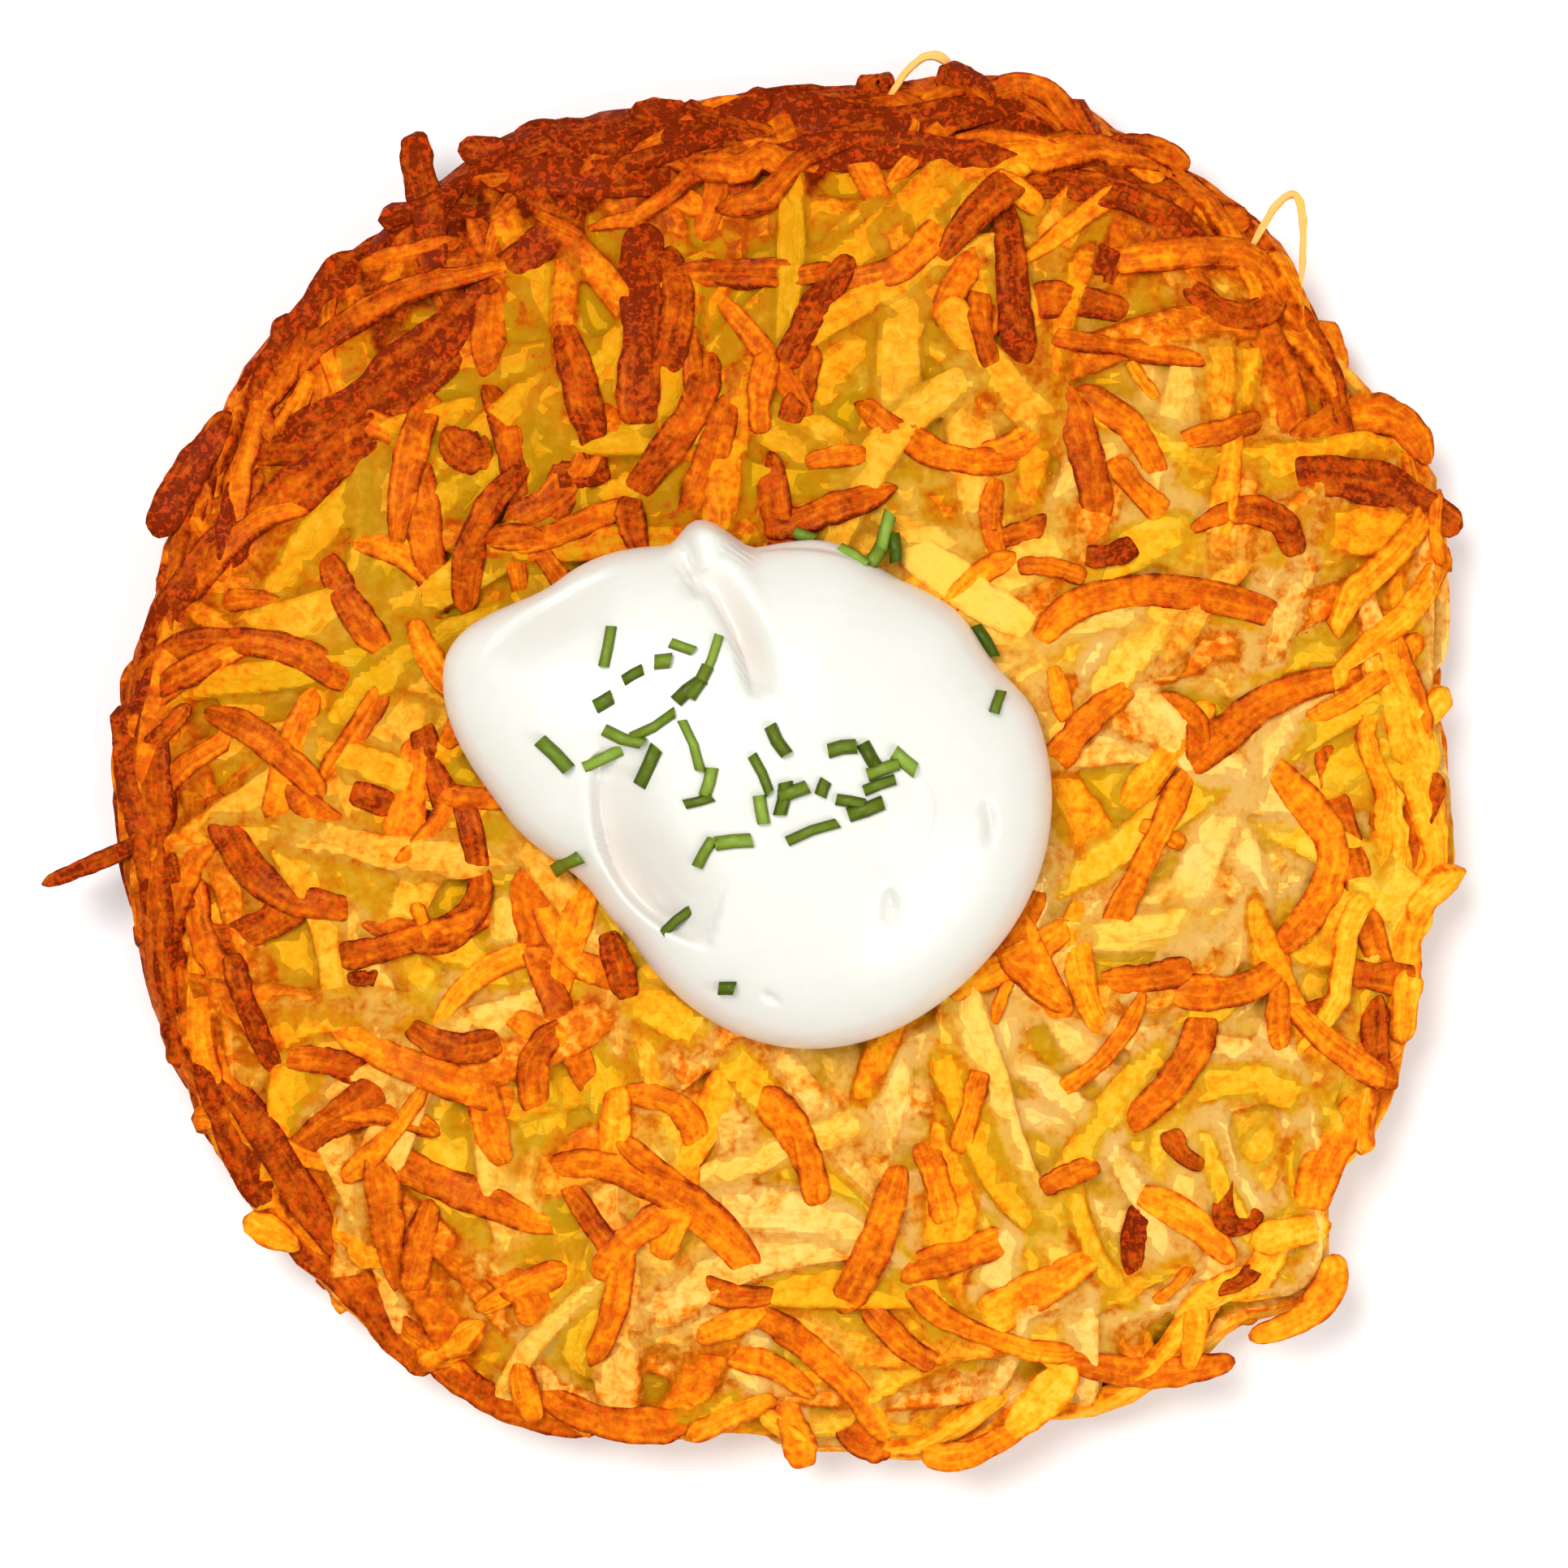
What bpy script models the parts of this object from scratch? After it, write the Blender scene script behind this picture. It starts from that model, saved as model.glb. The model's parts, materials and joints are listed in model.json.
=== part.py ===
"""Potato rosti: a fried cake of grated potato with a dollop of sour cream on top.

The cake is one solid, a pressed core fused with the shreds that stand proud of it, and the cream is
a second solid that rests on the shreds. The origin is at the middle of the underside, +Z is up, and
+Y points to the side where the cream ends in its peak.
"""

import math
import random

import bmesh
import bpy
from mathutils import Vector

MM = 0.001

# Cake
CAKE_RADIUS = 58.6 * MM
CAKE_HEIGHT = 11.5 * MM
CAKE_DOME = 1.2 * MM
EDGE_FALL = 7
UNDERSIDE_TRIM = 0.4 * MM

# Shreds, as a coarse grater cuts them
SHRED_THICKNESS = 3.1 * MM
SHRED_LENGTHS = (20 * MM, 42 * MM)
SHRED_STEP = 3.0 * MM
SHRED_BEND = math.radians(75)
SHRED_LIFT = (-0.8 * MM, 0.4 * MM)
SHRED_END = 0.8
FEWEST_STEPS = 4
TOP_SHREDS = 120
TOP_REACH = 0.92
EDGE_MARGIN = 0.5 * MM
SHRED_SEED = 11

# Shreds round the edge: how high they lie, how far they climb, stand proud and tuck in at their ends
RIM_SHREDS = 54
RIM_LENGTH_SHARE = 0.8
RIM_UNEVENNESS = 0.3
RIM_LOWEST = 2.2 * MM
RIM_HIGHEST = 8.2 * MM
RIM_CLIMB = 2.4
RIM_PROUD = (-2.0, 0.0)
RIM_TUCK = 1.5 * MM
STRAY_ROOT = 8 * MM

# Cream
CREAM_CENTRE = Vector((1.8, -3.0)) * MM
CREAM_RADIUS = 19.8 * MM
CREAM_HEIGHT = 10.5 * MM
CREAM_LIFT = 0.8 * MM
CREAM_SINK = 4.0 * MM
CREAM_FLATNESS = 2.7
CREAM_GAP = 0.3 * MM
SWIRL_RADIUS = 15.0 * MM
SWIRL_WIDTH = 3.0 * MM
SWIRL_DEPTH = 1.3 * MM
SWIRL_MIDDLE = 215
SWIRL_SPAN = 75
PEAK_PLACE = Vector((-7.6, 19.0)) * MM
PEAK_WIDTH = 5.0 * MM
PEAK_RISE = 3.0 * MM

# Mesh fineness
CORE_RINGS = 20
CORE_SPOKES = 96
CREAM_RINGS = 22
CREAM_SPOKES = 52
FUSE_VOXEL = 1.0 * MM
CAKE_TRIANGLES_KEPT = 0.115

# Colours
POTATO_COLOUR = (0.83, 0.36, 0.04)
POTATO_ROUGHNESS = 0.45
CREAM_COLOUR = (0.93, 0.92, 0.87)
CREAM_ROUGHNESS = 0.35

# Lobes of the cake's outline: direction in degrees from +X, half-width in degrees, how far out in mm
CAKE_LOBES = (
    (57, 32, 3.4),
    (120, 26, 0.8),
    (228, 38, 2.2),
    (298, 24, 4.6),
    (336, 26, -2.4),
    (4, 18, -2.2),
    (97, 14, -0.6),
)
# Lobes of the cream's outline: the second spoonful, its torn edge, and the belly under it
CREAM_LOBES = (
    (150, 48, 13.0),
    (168, 22, 5.0),
    (113, 14, 4.5),
    (198, 34, 3.2),
    (275, 50, 1.8),
)
# Shreds that reach past the edge: direction of the root, height of the root and how far it sticks
# out, both in mm, and the heading of the tip in degrees from straight out
STRAY_SHREDS = (
    (121, 8.0, 8.0, -18),
    (20, 7.0, 6.5, 14),
    (189, 6.0, 7.5, 16),
    (86, 8.5, 5.0, 62),
    (43, 8.0, 5.5, 40),
    (318, 5.0, 4.5, -35),
)


def raised_cosine(offset, half_width):
    """1 in the middle, falling smoothly to 0 at half_width."""
    if abs(offset) >= half_width:
        return 0.0
    return 0.5 + 0.5 * math.cos(math.pi * offset / half_width)


def lobed_radius(angle, base, lobes):
    """The outline's radius in a direction, as a circle pushed in and out by its lobes."""
    radius = base
    for direction, half_width, rise in lobes:
        offset = (math.degrees(angle) - direction + 180) % 360 - 180
        radius += rise * MM * raised_cosine(offset, half_width)
    return radius


def cake_radius(angle):
    return lobed_radius(angle, CAKE_RADIUS, CAKE_LOBES)


def edge_fall(share):
    """How full the cake is at a share of its radius: 1 over most of it, 0 at the edge."""
    return math.sqrt(1 - share**EDGE_FALL)


def cake_top(x, y):
    """Height of the core's upper face: nearly flat, domed a little, and rounded off at the edge."""
    share = min(math.hypot(x, y) / cake_radius(math.atan2(y, x)), 1.0)
    return CAKE_HEIGHT / 2 * (1 + edge_fall(share)) + CAKE_DOME * (1 - share**2)


def link(name, mesh_or_curve):
    made = bpy.data.objects.new(name, mesh_or_curve)
    bpy.context.scene.collection.objects.link(made)
    return made


def pressed_ball(name, rings, spokes, shape):
    """A UV sphere whose points are moved by shape(direction, share of the radius, up or down)."""
    mesh = bpy.data.meshes.new(name)
    bm = bmesh.new()
    bmesh.ops.create_uvsphere(bm, u_segments=spokes, v_segments=rings, radius=1)
    for vert in bm.verts:
        share = min(math.hypot(vert.co.x, vert.co.y), 1.0)
        direction = math.atan2(vert.co.y, vert.co.x)
        # Spacing the rings evenly over the faces keeps them from crowding at the edge.
        even = 1 - math.acos(share) / (math.pi / 2) if share < 1 else 1.0
        vert.co = shape(direction, even, vert.co.z)
    bm.to_mesh(mesh)
    bm.free()
    return link(name, mesh)


def core_point(direction, share, up):
    """A point of the core: a disc with the cake's outline and rounded edges."""
    reach = share * cake_radius(direction)
    x, y = reach * math.cos(direction), reach * math.sin(direction)
    if up >= 0:
        return Vector((x, y, cake_top(x, y)))
    return Vector((x, y, CAKE_HEIGHT / 2 * (1 - edge_fall(share))))


def shred_points(x, y, heading, length, bend, height_at):
    """Points along a shred that lies on the height given and turns evenly by bend."""
    steps = max(FEWEST_STEPS, round(length / SHRED_STEP))
    points = []
    for step in range(steps + 1):
        points.append(Vector((x, y, height_at(x, y))))
        heading += bend / steps
        x += length / steps * math.cos(heading)
        y += length / steps * math.sin(heading)
    return points


def top_shreds(dice):
    """Shreds lying every way on the upper face, evenly spread from the middle to the edge."""
    golden_angle = math.pi * (3 - math.sqrt(5))
    for index in range(TOP_SHREDS):
        direction = index * golden_angle
        reach = math.sqrt((index + 0.5) / TOP_SHREDS) * cake_radius(direction) * TOP_REACH
        heading = dice.uniform(0, 2 * math.pi)
        length = dice.uniform(*SHRED_LENGTHS)
        bend = dice.uniform(-SHRED_BEND, SHRED_BEND)
        x = reach * math.cos(direction) - length / 2 * math.cos(heading + bend / 2)
        y = reach * math.sin(direction) - length / 2 * math.sin(heading + bend / 2)
        lift = dice.uniform(*SHRED_LIFT)
        points = shred_points(
            x, y, heading, length, bend, lambda px, py: cake_top(px, py) + lift
        )
        yield [p for p in points if inside_edge(p)]


def inside_edge(point):
    limit = cake_radius(math.atan2(point.y, point.x)) - EDGE_MARGIN
    return point.xy.length < limit


def rim_shreds(dice):
    """Shreds that run round the edge, one over the other, from the underside to the shoulder."""
    for index in range(RIM_SHREDS):
        direction = 2 * math.pi * (index + dice.uniform(-RIM_UNEVENNESS, RIM_UNEVENNESS)) / RIM_SHREDS
        length = dice.uniform(*SHRED_LENGTHS) * RIM_LENGTH_SHARE
        height = dice.uniform(RIM_LOWEST, RIM_HIGHEST)
        climb = dice.uniform(-RIM_CLIMB, RIM_CLIMB) * MM
        proud = dice.uniform(*RIM_PROUD) * MM
        steps = max(FEWEST_STEPS, round(length / SHRED_STEP))
        points = []
        for step in range(steps + 1):
            along = step / steps
            turned = direction + along * length / CAKE_RADIUS
            reach = cake_radius(turned) + proud - RIM_TUCK * abs(2 * along - 1) ** 2
            z = max(RIM_LOWEST, height + climb * (along - 0.5))
            points.append(Vector((reach * math.cos(turned), reach * math.sin(turned), z)))
        yield points


def stray_shreds():
    """The named shreds that stick out past the edge."""
    for degrees, height, out, turn in STRAY_SHREDS:
        direction = math.radians(degrees)
        reach = cake_radius(direction) - STRAY_ROOT
        length = out * MM + STRAY_ROOT
        yield shred_points(
            reach * math.cos(direction),
            reach * math.sin(direction),
            direction,
            length,
            math.radians(turn),
            lambda px, py: height * MM,
        )


def shred_tubes(name, paths):
    """One curve object with a tube along each path, a little thinner at its two ends."""
    curve = bpy.data.curves.new(name, "CURVE")
    curve.dimensions = "3D"
    curve.bevel_depth = SHRED_THICKNESS / 2
    curve.bevel_resolution = 1
    curve.use_fill_caps = True
    for path in paths:
        if len(path) < FEWEST_STEPS:
            continue
        spline = curve.splines.new("POLY")
        spline.points.add(len(path) - 1)
        for point, place in zip(spline.points, path):
            point.co = (*place, 1)
        for end in (spline.points[0], spline.points[-1]):
            end.radius = SHRED_END
    return link(name, curve)


def select_only(objects):
    bpy.ops.object.select_all(action="DESELECT")
    for obj in objects:
        obj.select_set(True)
    bpy.context.view_layer.objects.active = objects[0]


def material(name, colour, roughness):
    made = bpy.data.materials.new(name)
    made.use_nodes = True
    shader = made.node_tree.nodes["Principled BSDF"]
    shader.inputs["Base Color"].default_value = (*colour, 1)
    shader.inputs["Roughness"].default_value = roughness
    shader.inputs["Metallic"].default_value = 0
    return made


def block_cutter(name, size, centre):
    """A box that is only there to be cut away."""
    mesh = bpy.data.meshes.new(name)
    bm = bmesh.new()
    bmesh.ops.create_cube(bm, size=1)
    for vert in bm.verts:
        vert.co = Vector(a * b for a, b in zip(vert.co, size)) + centre
    bm.to_mesh(mesh)
    bm.free()
    cutter = link(name, mesh)
    cutter.hide_render = True
    cutter.display_type = "WIRE"
    return cutter


def cut(obj, name, cutter):
    modifier = obj.modifiers.new(name, "BOOLEAN")
    modifier.operation = "DIFFERENCE"
    modifier.object = cutter
    return modifier


def make_cake():
    """The core and its shreds fused into one body, cut flat where it lies on the plate."""
    dice = random.Random(SHRED_SEED)
    core = pressed_ball("rosti", CORE_RINGS, CORE_SPOKES, core_point)
    paths = [*top_shreds(dice), *rim_shreds(dice), *stray_shreds()]
    shreds = shred_tubes("shreds", paths)
    select_only([shreds])
    bpy.ops.object.convert(target="MESH")
    select_only([core, shreds])
    bpy.ops.object.join()
    fuse = core.modifiers.new("fuse", "REMESH")
    fuse.mode = "VOXEL"
    fuse.voxel_size = FUSE_VOXEL
    thin = core.modifiers.new("thin", "DECIMATE")
    thin.ratio = CAKE_TRIANGLES_KEPT
    wide = 4 * CAKE_RADIUS
    under = block_cutter(
        "under",
        (wide, wide, CAKE_HEIGHT),
        Vector((0, 0, UNDERSIDE_TRIM - CAKE_HEIGHT / 2)),
    )
    cut(core, "flat underside", under)
    core.data.materials.append(material("fried_potato", POTATO_COLOUR, POTATO_ROUGHNESS))
    return core


def cream_point(direction, share, up):
    """A point of the dollop: plump sides, a swirled top and a peak where the spoon came away."""
    outline = lobed_radius(direction, CREAM_RADIUS, CREAM_LOBES)
    reach = share * outline
    x = CREAM_CENTRE.x + reach * math.cos(direction)
    y = CREAM_CENTRE.y + reach * math.sin(direction)
    level = CAKE_HEIGHT + CAKE_DOME + CREAM_LIFT
    plump = math.sqrt(max(0.0, 1 - share**CREAM_FLATNESS))
    if up < 0:
        return Vector((x, y, level - CREAM_SINK * plump))
    groove = raised_cosine(reach - SWIRL_RADIUS, SWIRL_WIDTH)
    groove *= raised_cosine(math.degrees(direction) % 360 - SWIRL_MIDDLE, SWIRL_SPAN)
    peak = raised_cosine((Vector((x, y)) - PEAK_PLACE).length, PEAK_WIDTH)
    rise = CREAM_HEIGHT * plump - SWIRL_DEPTH * groove + PEAK_RISE * peak * plump
    return Vector((x, y, level + rise))


def largest_piece(obj):
    """Removes the crumbs that a cut may leave apart from the main body."""
    bm = bmesh.new()
    bm.from_mesh(obj.data)
    left, pieces = set(bm.verts), []
    while left:
        todo, piece = [left.pop()], []
        while todo:
            vert = todo.pop()
            piece.append(vert)
            near = {edge.other_vert(vert) for edge in vert.link_edges} & left
            left -= near
            todo.extend(near)
        pieces.append(piece)
    pieces.sort(key=len)
    crumbs = [vert for piece in pieces[:-1] for vert in piece]
    bmesh.ops.delete(bm, geom=crumbs, context="VERTS")
    bm.to_mesh(obj.data)
    bm.free()


def make_cream(cake):
    """The dollop, hollowed underneath by the shreds that it lies on, with a hair's gap to them."""
    cream = pressed_ball("sour_cream", CREAM_RINGS, CREAM_SPOKES, cream_point)
    seat = cake.copy()
    seat.data = cake.data.copy()
    seat.name = "cream_seat"
    seat.location.z = CREAM_GAP
    seat.hide_render = True
    seat.display_type = "WIRE"
    bpy.context.scene.collection.objects.link(seat)
    seat_cut = cut(cream, "seat", seat)
    select_only([cream])
    bpy.ops.object.modifier_apply(modifier=seat_cut.name)
    bpy.data.objects.remove(seat)
    largest_piece(cream)
    cream.data.materials.append(material("sour_cream", CREAM_COLOUR, CREAM_ROUGHNESS))
    return cream


def stand_on_origin(objects):
    """Moves everything so that the middle of the underside is at the origin."""
    bpy.context.view_layer.update()
    graph = bpy.context.evaluated_depsgraph_get()
    corners = []
    for obj in objects:
        made = obj.evaluated_get(graph).to_mesh()
        corners += [vert.co.copy() for vert in made.vertices]
    low = Vector(min(c[k] for c in corners) for k in range(3))
    high = Vector(max(c[k] for c in corners) for k in range(3))
    middle = (low + high) / 2
    helpers = [obj for obj in bpy.data.objects if obj.hide_render]
    for obj in [*objects, *helpers]:
        obj.location -= Vector((middle.x, middle.y, low.z))
    bpy.context.view_layer.update()


def main():
    for obj in list(bpy.data.objects):
        bpy.data.objects.remove(obj)
    cake = make_cake()
    cream = make_cream(cake)
    for obj in (cake, cream):
        select_only([obj])
        obj.data.shade_smooth()
    stand_on_origin([cake, cream])


main()
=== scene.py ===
"""Potato rosti: a cake of grated potato fried brown at the edge, with sour cream and cut chives.

The cake is a bed of shreds that have cooked together, with crisp browned shreds lying on it and
round its edge. A dollop of sour cream sits on top, marked by the spoon, and chives lie on the cream.
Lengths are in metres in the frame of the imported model: the underside is at z = 0, +Y is towards the
cream's peak and the browner side of the cake.
"""

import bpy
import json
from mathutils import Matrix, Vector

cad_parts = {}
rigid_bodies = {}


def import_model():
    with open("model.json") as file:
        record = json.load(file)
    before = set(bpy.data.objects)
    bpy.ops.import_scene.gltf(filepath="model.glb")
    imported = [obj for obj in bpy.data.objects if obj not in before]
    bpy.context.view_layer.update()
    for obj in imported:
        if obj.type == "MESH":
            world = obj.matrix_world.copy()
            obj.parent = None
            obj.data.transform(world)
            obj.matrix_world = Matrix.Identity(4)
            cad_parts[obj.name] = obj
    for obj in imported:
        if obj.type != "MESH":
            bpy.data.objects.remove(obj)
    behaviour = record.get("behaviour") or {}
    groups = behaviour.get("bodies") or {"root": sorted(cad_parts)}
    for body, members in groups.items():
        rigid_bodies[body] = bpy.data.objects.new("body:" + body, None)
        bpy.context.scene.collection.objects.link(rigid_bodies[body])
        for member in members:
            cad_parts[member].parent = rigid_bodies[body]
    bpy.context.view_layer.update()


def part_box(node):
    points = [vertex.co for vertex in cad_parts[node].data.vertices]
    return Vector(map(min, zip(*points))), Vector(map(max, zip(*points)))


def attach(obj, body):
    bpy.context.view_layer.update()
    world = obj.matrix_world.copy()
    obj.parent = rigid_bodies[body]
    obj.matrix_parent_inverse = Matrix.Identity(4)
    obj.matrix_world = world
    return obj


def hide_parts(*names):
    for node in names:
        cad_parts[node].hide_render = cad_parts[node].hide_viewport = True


bl_info = {
    "name": "Potato Rosti",
    "version": (1, 0, 0),
    "blender": (4, 5, 0),
    "location": "View3D > Sidebar > Rosti",
    "description": "Builds a fried potato rosti with sour cream and chives",
    "category": "Add Mesh",
}

import json
import math
import random

import bpy
import numpy as np
from mathutils import Vector

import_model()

MM = 0.001
CAKE_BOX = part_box("rosti")
CREAM_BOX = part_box("sour_cream")
GOLDEN_ANGLE = math.pi * (3 - math.sqrt(5))

# The pressed cake under the loose shreds: a slab with a slightly domed top, whose rounded edge falls
# away with this power of the radius
CAKE_CENTRE = (2.3 * MM, -0.7 * MM)
CAKE_RADIUS = 58.6 * MM
LOOSE_SHREDS = 1.6 * MM
DOME = 1.2 * MM
CAKE_TOP = CAKE_BOX[1].z - LOOSE_SHREDS
HALF_HEIGHT = 5.75 * MM
MIDDLE_HEIGHT = CAKE_TOP - DOME - HALF_HEIGHT
EDGE_FALL = 7
# The closed core under the shreds is narrower and lower than the cake by these, and on the underside
# it starts this far up, so that the shreds stand out from it
CORE_NARROWER = 2.4 * MM
CORE_LOWER = 1.7 * MM
UNDERSIDE_RELIEF = 1.2 * MM
# Lobes of the cake's outline: direction in degrees from +X, half-width in degrees, rise in mm
CAKE_LOBES = (
    (4, 18, -2.6),
    (26, 10, 1.6),
    (40, 7, -1.6),
    (57, 32, 3.4),
    (74, 14, 2.2),
    (97, 14, -0.6),
    (114, 12, 1.2),
    (158, 20, -1.2),
    (228, 38, 2.2),
    (247, 12, 1.2),
    (265, 6, -1.2),
    (281, 9, 1.6),
    (302, 22, 3.4),
    (315, 8, 4.0),
    (330, 10, 1.6),
    (336, 26, -2.4),
    (345, 7, -1.8),
)

# Every shred's line has this many points; a fine strip has a ring of points at each, a coarse one fewer
STATIONS = 36
COARSE_RINGS = 15
# How much of a strip's corners is cut off, and the angle from which its edges stay sharp
STRIP_CORNER = 0.26
STRIP_CREASE = math.radians(48)
WANDER_WAVES = (1, 2, 4, 7, 13)
# The ends are rounded over the last share of half a shred, down to a narrow tip
ROUNDED_FROM = 0.85
ROUNDED_OVER = 0.16
# How uneven a shred's width and thickness are along it, and how wide pressed and loose shreds are as
# shares of a grated shred's width
WIDTH_UNEVEN = 0.21
THICKNESS_UNEVEN = 0.12
PRESSED_WIDTHS = (0.7, 1.45)
LOOSE_WIDTHS = (0.5, 1.0)
# A strip is never wider than this share of the radius it is bent to, so that it does not fold over
WIDTH_TO_BEND = 0.9
BEND_WINDOW = 9
# The widths below include the browned fringe on either side of a shred
LAID_WIDTH_SHARE = 0.92
# A loose shred that reaches past the edge stays as high as the cake is at this share of its radius
STIFF_SHARE = 0.972
# A laid shred is dropped from this height, sags no deeper than this, and evens out over this length
DROP_FROM = 50 * MM
DEEPEST_SAG = 1.4 * MM
DRAPE = 6 * MM

# Pressed shreds, in mm: how long they are and how far inside the outline they stay
BED_LENGTHS = (14, 36)
BED_MARGINS = (0.5, 3.0)
UNDERSIDE_LENGTHS = (14, 34)
UNDERSIDE_MARGINS = (1.0, 3.5)
# The bed's uppermost shreds lie this deep
LEAST_BED_DEPTH = 0.4 * MM
# Shreds round the side: roll in degrees, from -90 below to 90 on top, how proud they stand in mm, how
# much browner than the edge they are, and how evenly they are spread over the cooler sides
MELTED_RIM = {"rolls": (-65, 60), "proudness": (-1.6, -0.5), "extra": -0.06, "evenness": 1.0}
LOW_RIM = {"rolls": (-80, -25), "proudness": (-1.1, -0.3), "extra": 0.0, "evenness": 1.0}
CRISP_RIM = {"rolls": (-45, 50), "proudness": (-0.8, 0.1), "extra": 0.04, "evenness": 0.14}
# No shred at the rim rolls past these, and the lengths of loose shreds are in mm
ROLL_LIMITS = (-70, 58)
RIM_LENGTHS = (9, 30)
SHORT_LENGTHS = (4, 14)
TIP_LENGTHS = (5, 9)
# No point of a rim shred is lower than this on its middle line
RIM_LOWEST = 0.9 * MM

# How often the colour of neighbouring shreds is evened out where they have melted together
BLUR_PASSES = 1
# The bed is thinned to this many triangles
BED_TRIANGLES = 190000

# Where the pan was hottest: direction in degrees, half-width in degrees, how much browner the edge is
HOT_SIDES = ((112, 85, 0.92), (182, 42, 0.36), (208, 62, 0.38), (38, 50, 0.31))
# The sides where the bed between the shreds is a deeper, oilier gold
BED_HEAT = ((118, 100, 1.05), (200, 60, 0.20))
EDGE_BROWNING_FROM = 0.74
# How much of the edge's browning reaches inwards, and between which shares of the radius it fades
INNER_BROWNING = 0.30
INNER_SPAN = (0.2, 0.8)
# The bed takes on this share of the edge's browning, and its core is fried this little
BED_BROWNING = 0.75
CORE_BROWN = 0.12
# No shred at the rim is fried less than this
LEAST_RIM_BROWN = 0.15

# How much each pattern adds to how browned a shred looks, and where across it its fringe starts and ends
MELTED_PATTERN = {"mottle": 0.19, "grain": 0.13, "fibre": 0.10, "rim": 0.12, "rim_span": (0.55, 0.9)}
CRISP_PATTERN = {"mottle": 0.16, "grain": 0.14, "fibre": 0.20, "rim": 0.26, "rim_span": (0.72, 1.0)}
# Fibres: their size, how much less they change along a shred, and half the width they are spread over
FIBRE_WIDTH = 0.6 * MM
FIBRE_STRETCH = 0.12
FIBRE_SPREAD = 1.5 * MM

# The cream's rounded top lies this far under its peak, and its rings crowd a little towards its edge
CREAM_BELOW_PEAK = 1.0 * MM
CREAM_RING_POWER = 0.8
# On the potato a chive lies this far above the smooth surface, and its middle line is raised by this
# share of its half height
CHIVE_ON_POTATO = 0.5 * MM
CHIVE_PROUD = 0.55
CHIVE_SEED = 3

# The studio: where the lamps stand, how wide they are, and what the camera looks at
KEY_PLACE = (-0.20, 0.18, 0.58)
KEY_SIZE = 0.35
FILL_PLACE = (0.35, -0.30, 0.45)
FILL_SIZE = 0.50
VIEW_MIDDLE = (1.1 * MM, -2.5 * MM, CAKE_TOP)
SENSOR_WIDTH = 36.0

# Shreds laid one by one, in mm: start, middle and end, then width and how brown, from 0 to 10
TOP_EDGE_SHREDS = (
    ((-31, 54), (-30, 48), (-29, 40), 3.4, 9),
    ((-27, 53), (-17, 52), (-8, 54), 3.0, 10),
    ((-26, 50), (-16, 50), (-6, 51), 3.6, 9),
    ((-8, 53), (-1, 56), (8, 55), 3.2, 10),
    ((1, 54), (12, 55), (22, 57), 2.8, 10),
    ((-3, 51), (10, 52), (23, 50), 3.6, 9),
    ((20, 50), (31, 48), (38, 42), 3.6, 9),
    ((-23, 41), (-33, 32), (-42, 27), 4.2, 8),
    ((-24, 39), (-35, 29), (-45, 26), 3.4, 7),
    ((-31, 44), (-27, 38), (-31, 33), 2.6, 8),
    ((-17, 48), (-20, 44), (-24, 42), 3.4, 8),
    ((-35, 44), (-40, 38), (-46, 28), 3.8, 9),
    ((28, 44), (29, 42), (29, 41), 3.0, 9),
    ((18, 40), (18, 37), (19, 33), 2.2, 6),
    ((8, 57), (9, 59), (10, 58), 2.4, 8),
    ((18, 57), (23, 58), (27, 54), 2.6, 6),
    ((29, 53), (33, 53), (36, 51), 2.4, 7),
    ((10.0, 56.8), (13.8, 60.9), (16.9, 57.5), 0.7, -4),
    ((41.2, 43.6), (45.6, 48.6), (45.7, 38.8), 0.7, -4),
)
UPPER_LEFT_SHREDS = (
    ((-33, 29), (-39, 24), (-45, 19), 4.4, 7),
    ((-18, 37), (-16, 30), (-15, 24), 3.2, 7),
    ((-19, 24), (-17, 24), (-14, 25), 3.0, 8),
    ((-21, 25), (-25, 20), (-26, 12), 3.0, 6),
    ((-11, 46), (-11, 37), (-11, 28), 4.4, 8),
    ((-9, 44), (-8, 37), (-10, 32), 3.0, 7),
    ((-6, 36), (-7, 29), (-12, 22), 3.0, 6),
    ((-12, 22), (-12, 20), (-11, 17), 2.4, 7),
    ((-3, 31), (-5, 26), (-7, 20), 3.2, 5),
    ((-29, 31), (-31, 26), (-32, 17), 3.0, 5),
    ((-31, 26), (-30, 19), (-28, 12), 3.4, 6),
    ((-38, 17), (-36, 13), (-33, 9), 2.8, 6),
    ((-7, 42), (0, 41), (6, 42), 2.4, 6),
    ((-38, 41), (-42, 35), (-46, 31), 3.6, 10),
    ((-46, 21), (-50, 15), (-54, 9), 3.4, 8),
    ((-45, 26), (-46, 20), (-46, 16), 3.6, 9),
    ((-47, 30), (-50, 25), (-53, 19), 3.2, 8),
    ((-28, 28), (-26, 26), (-24, 26), 3.6, 6),
    ((11, 18), (17, 14), (23, 10), 3.4, -1),
)
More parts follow.
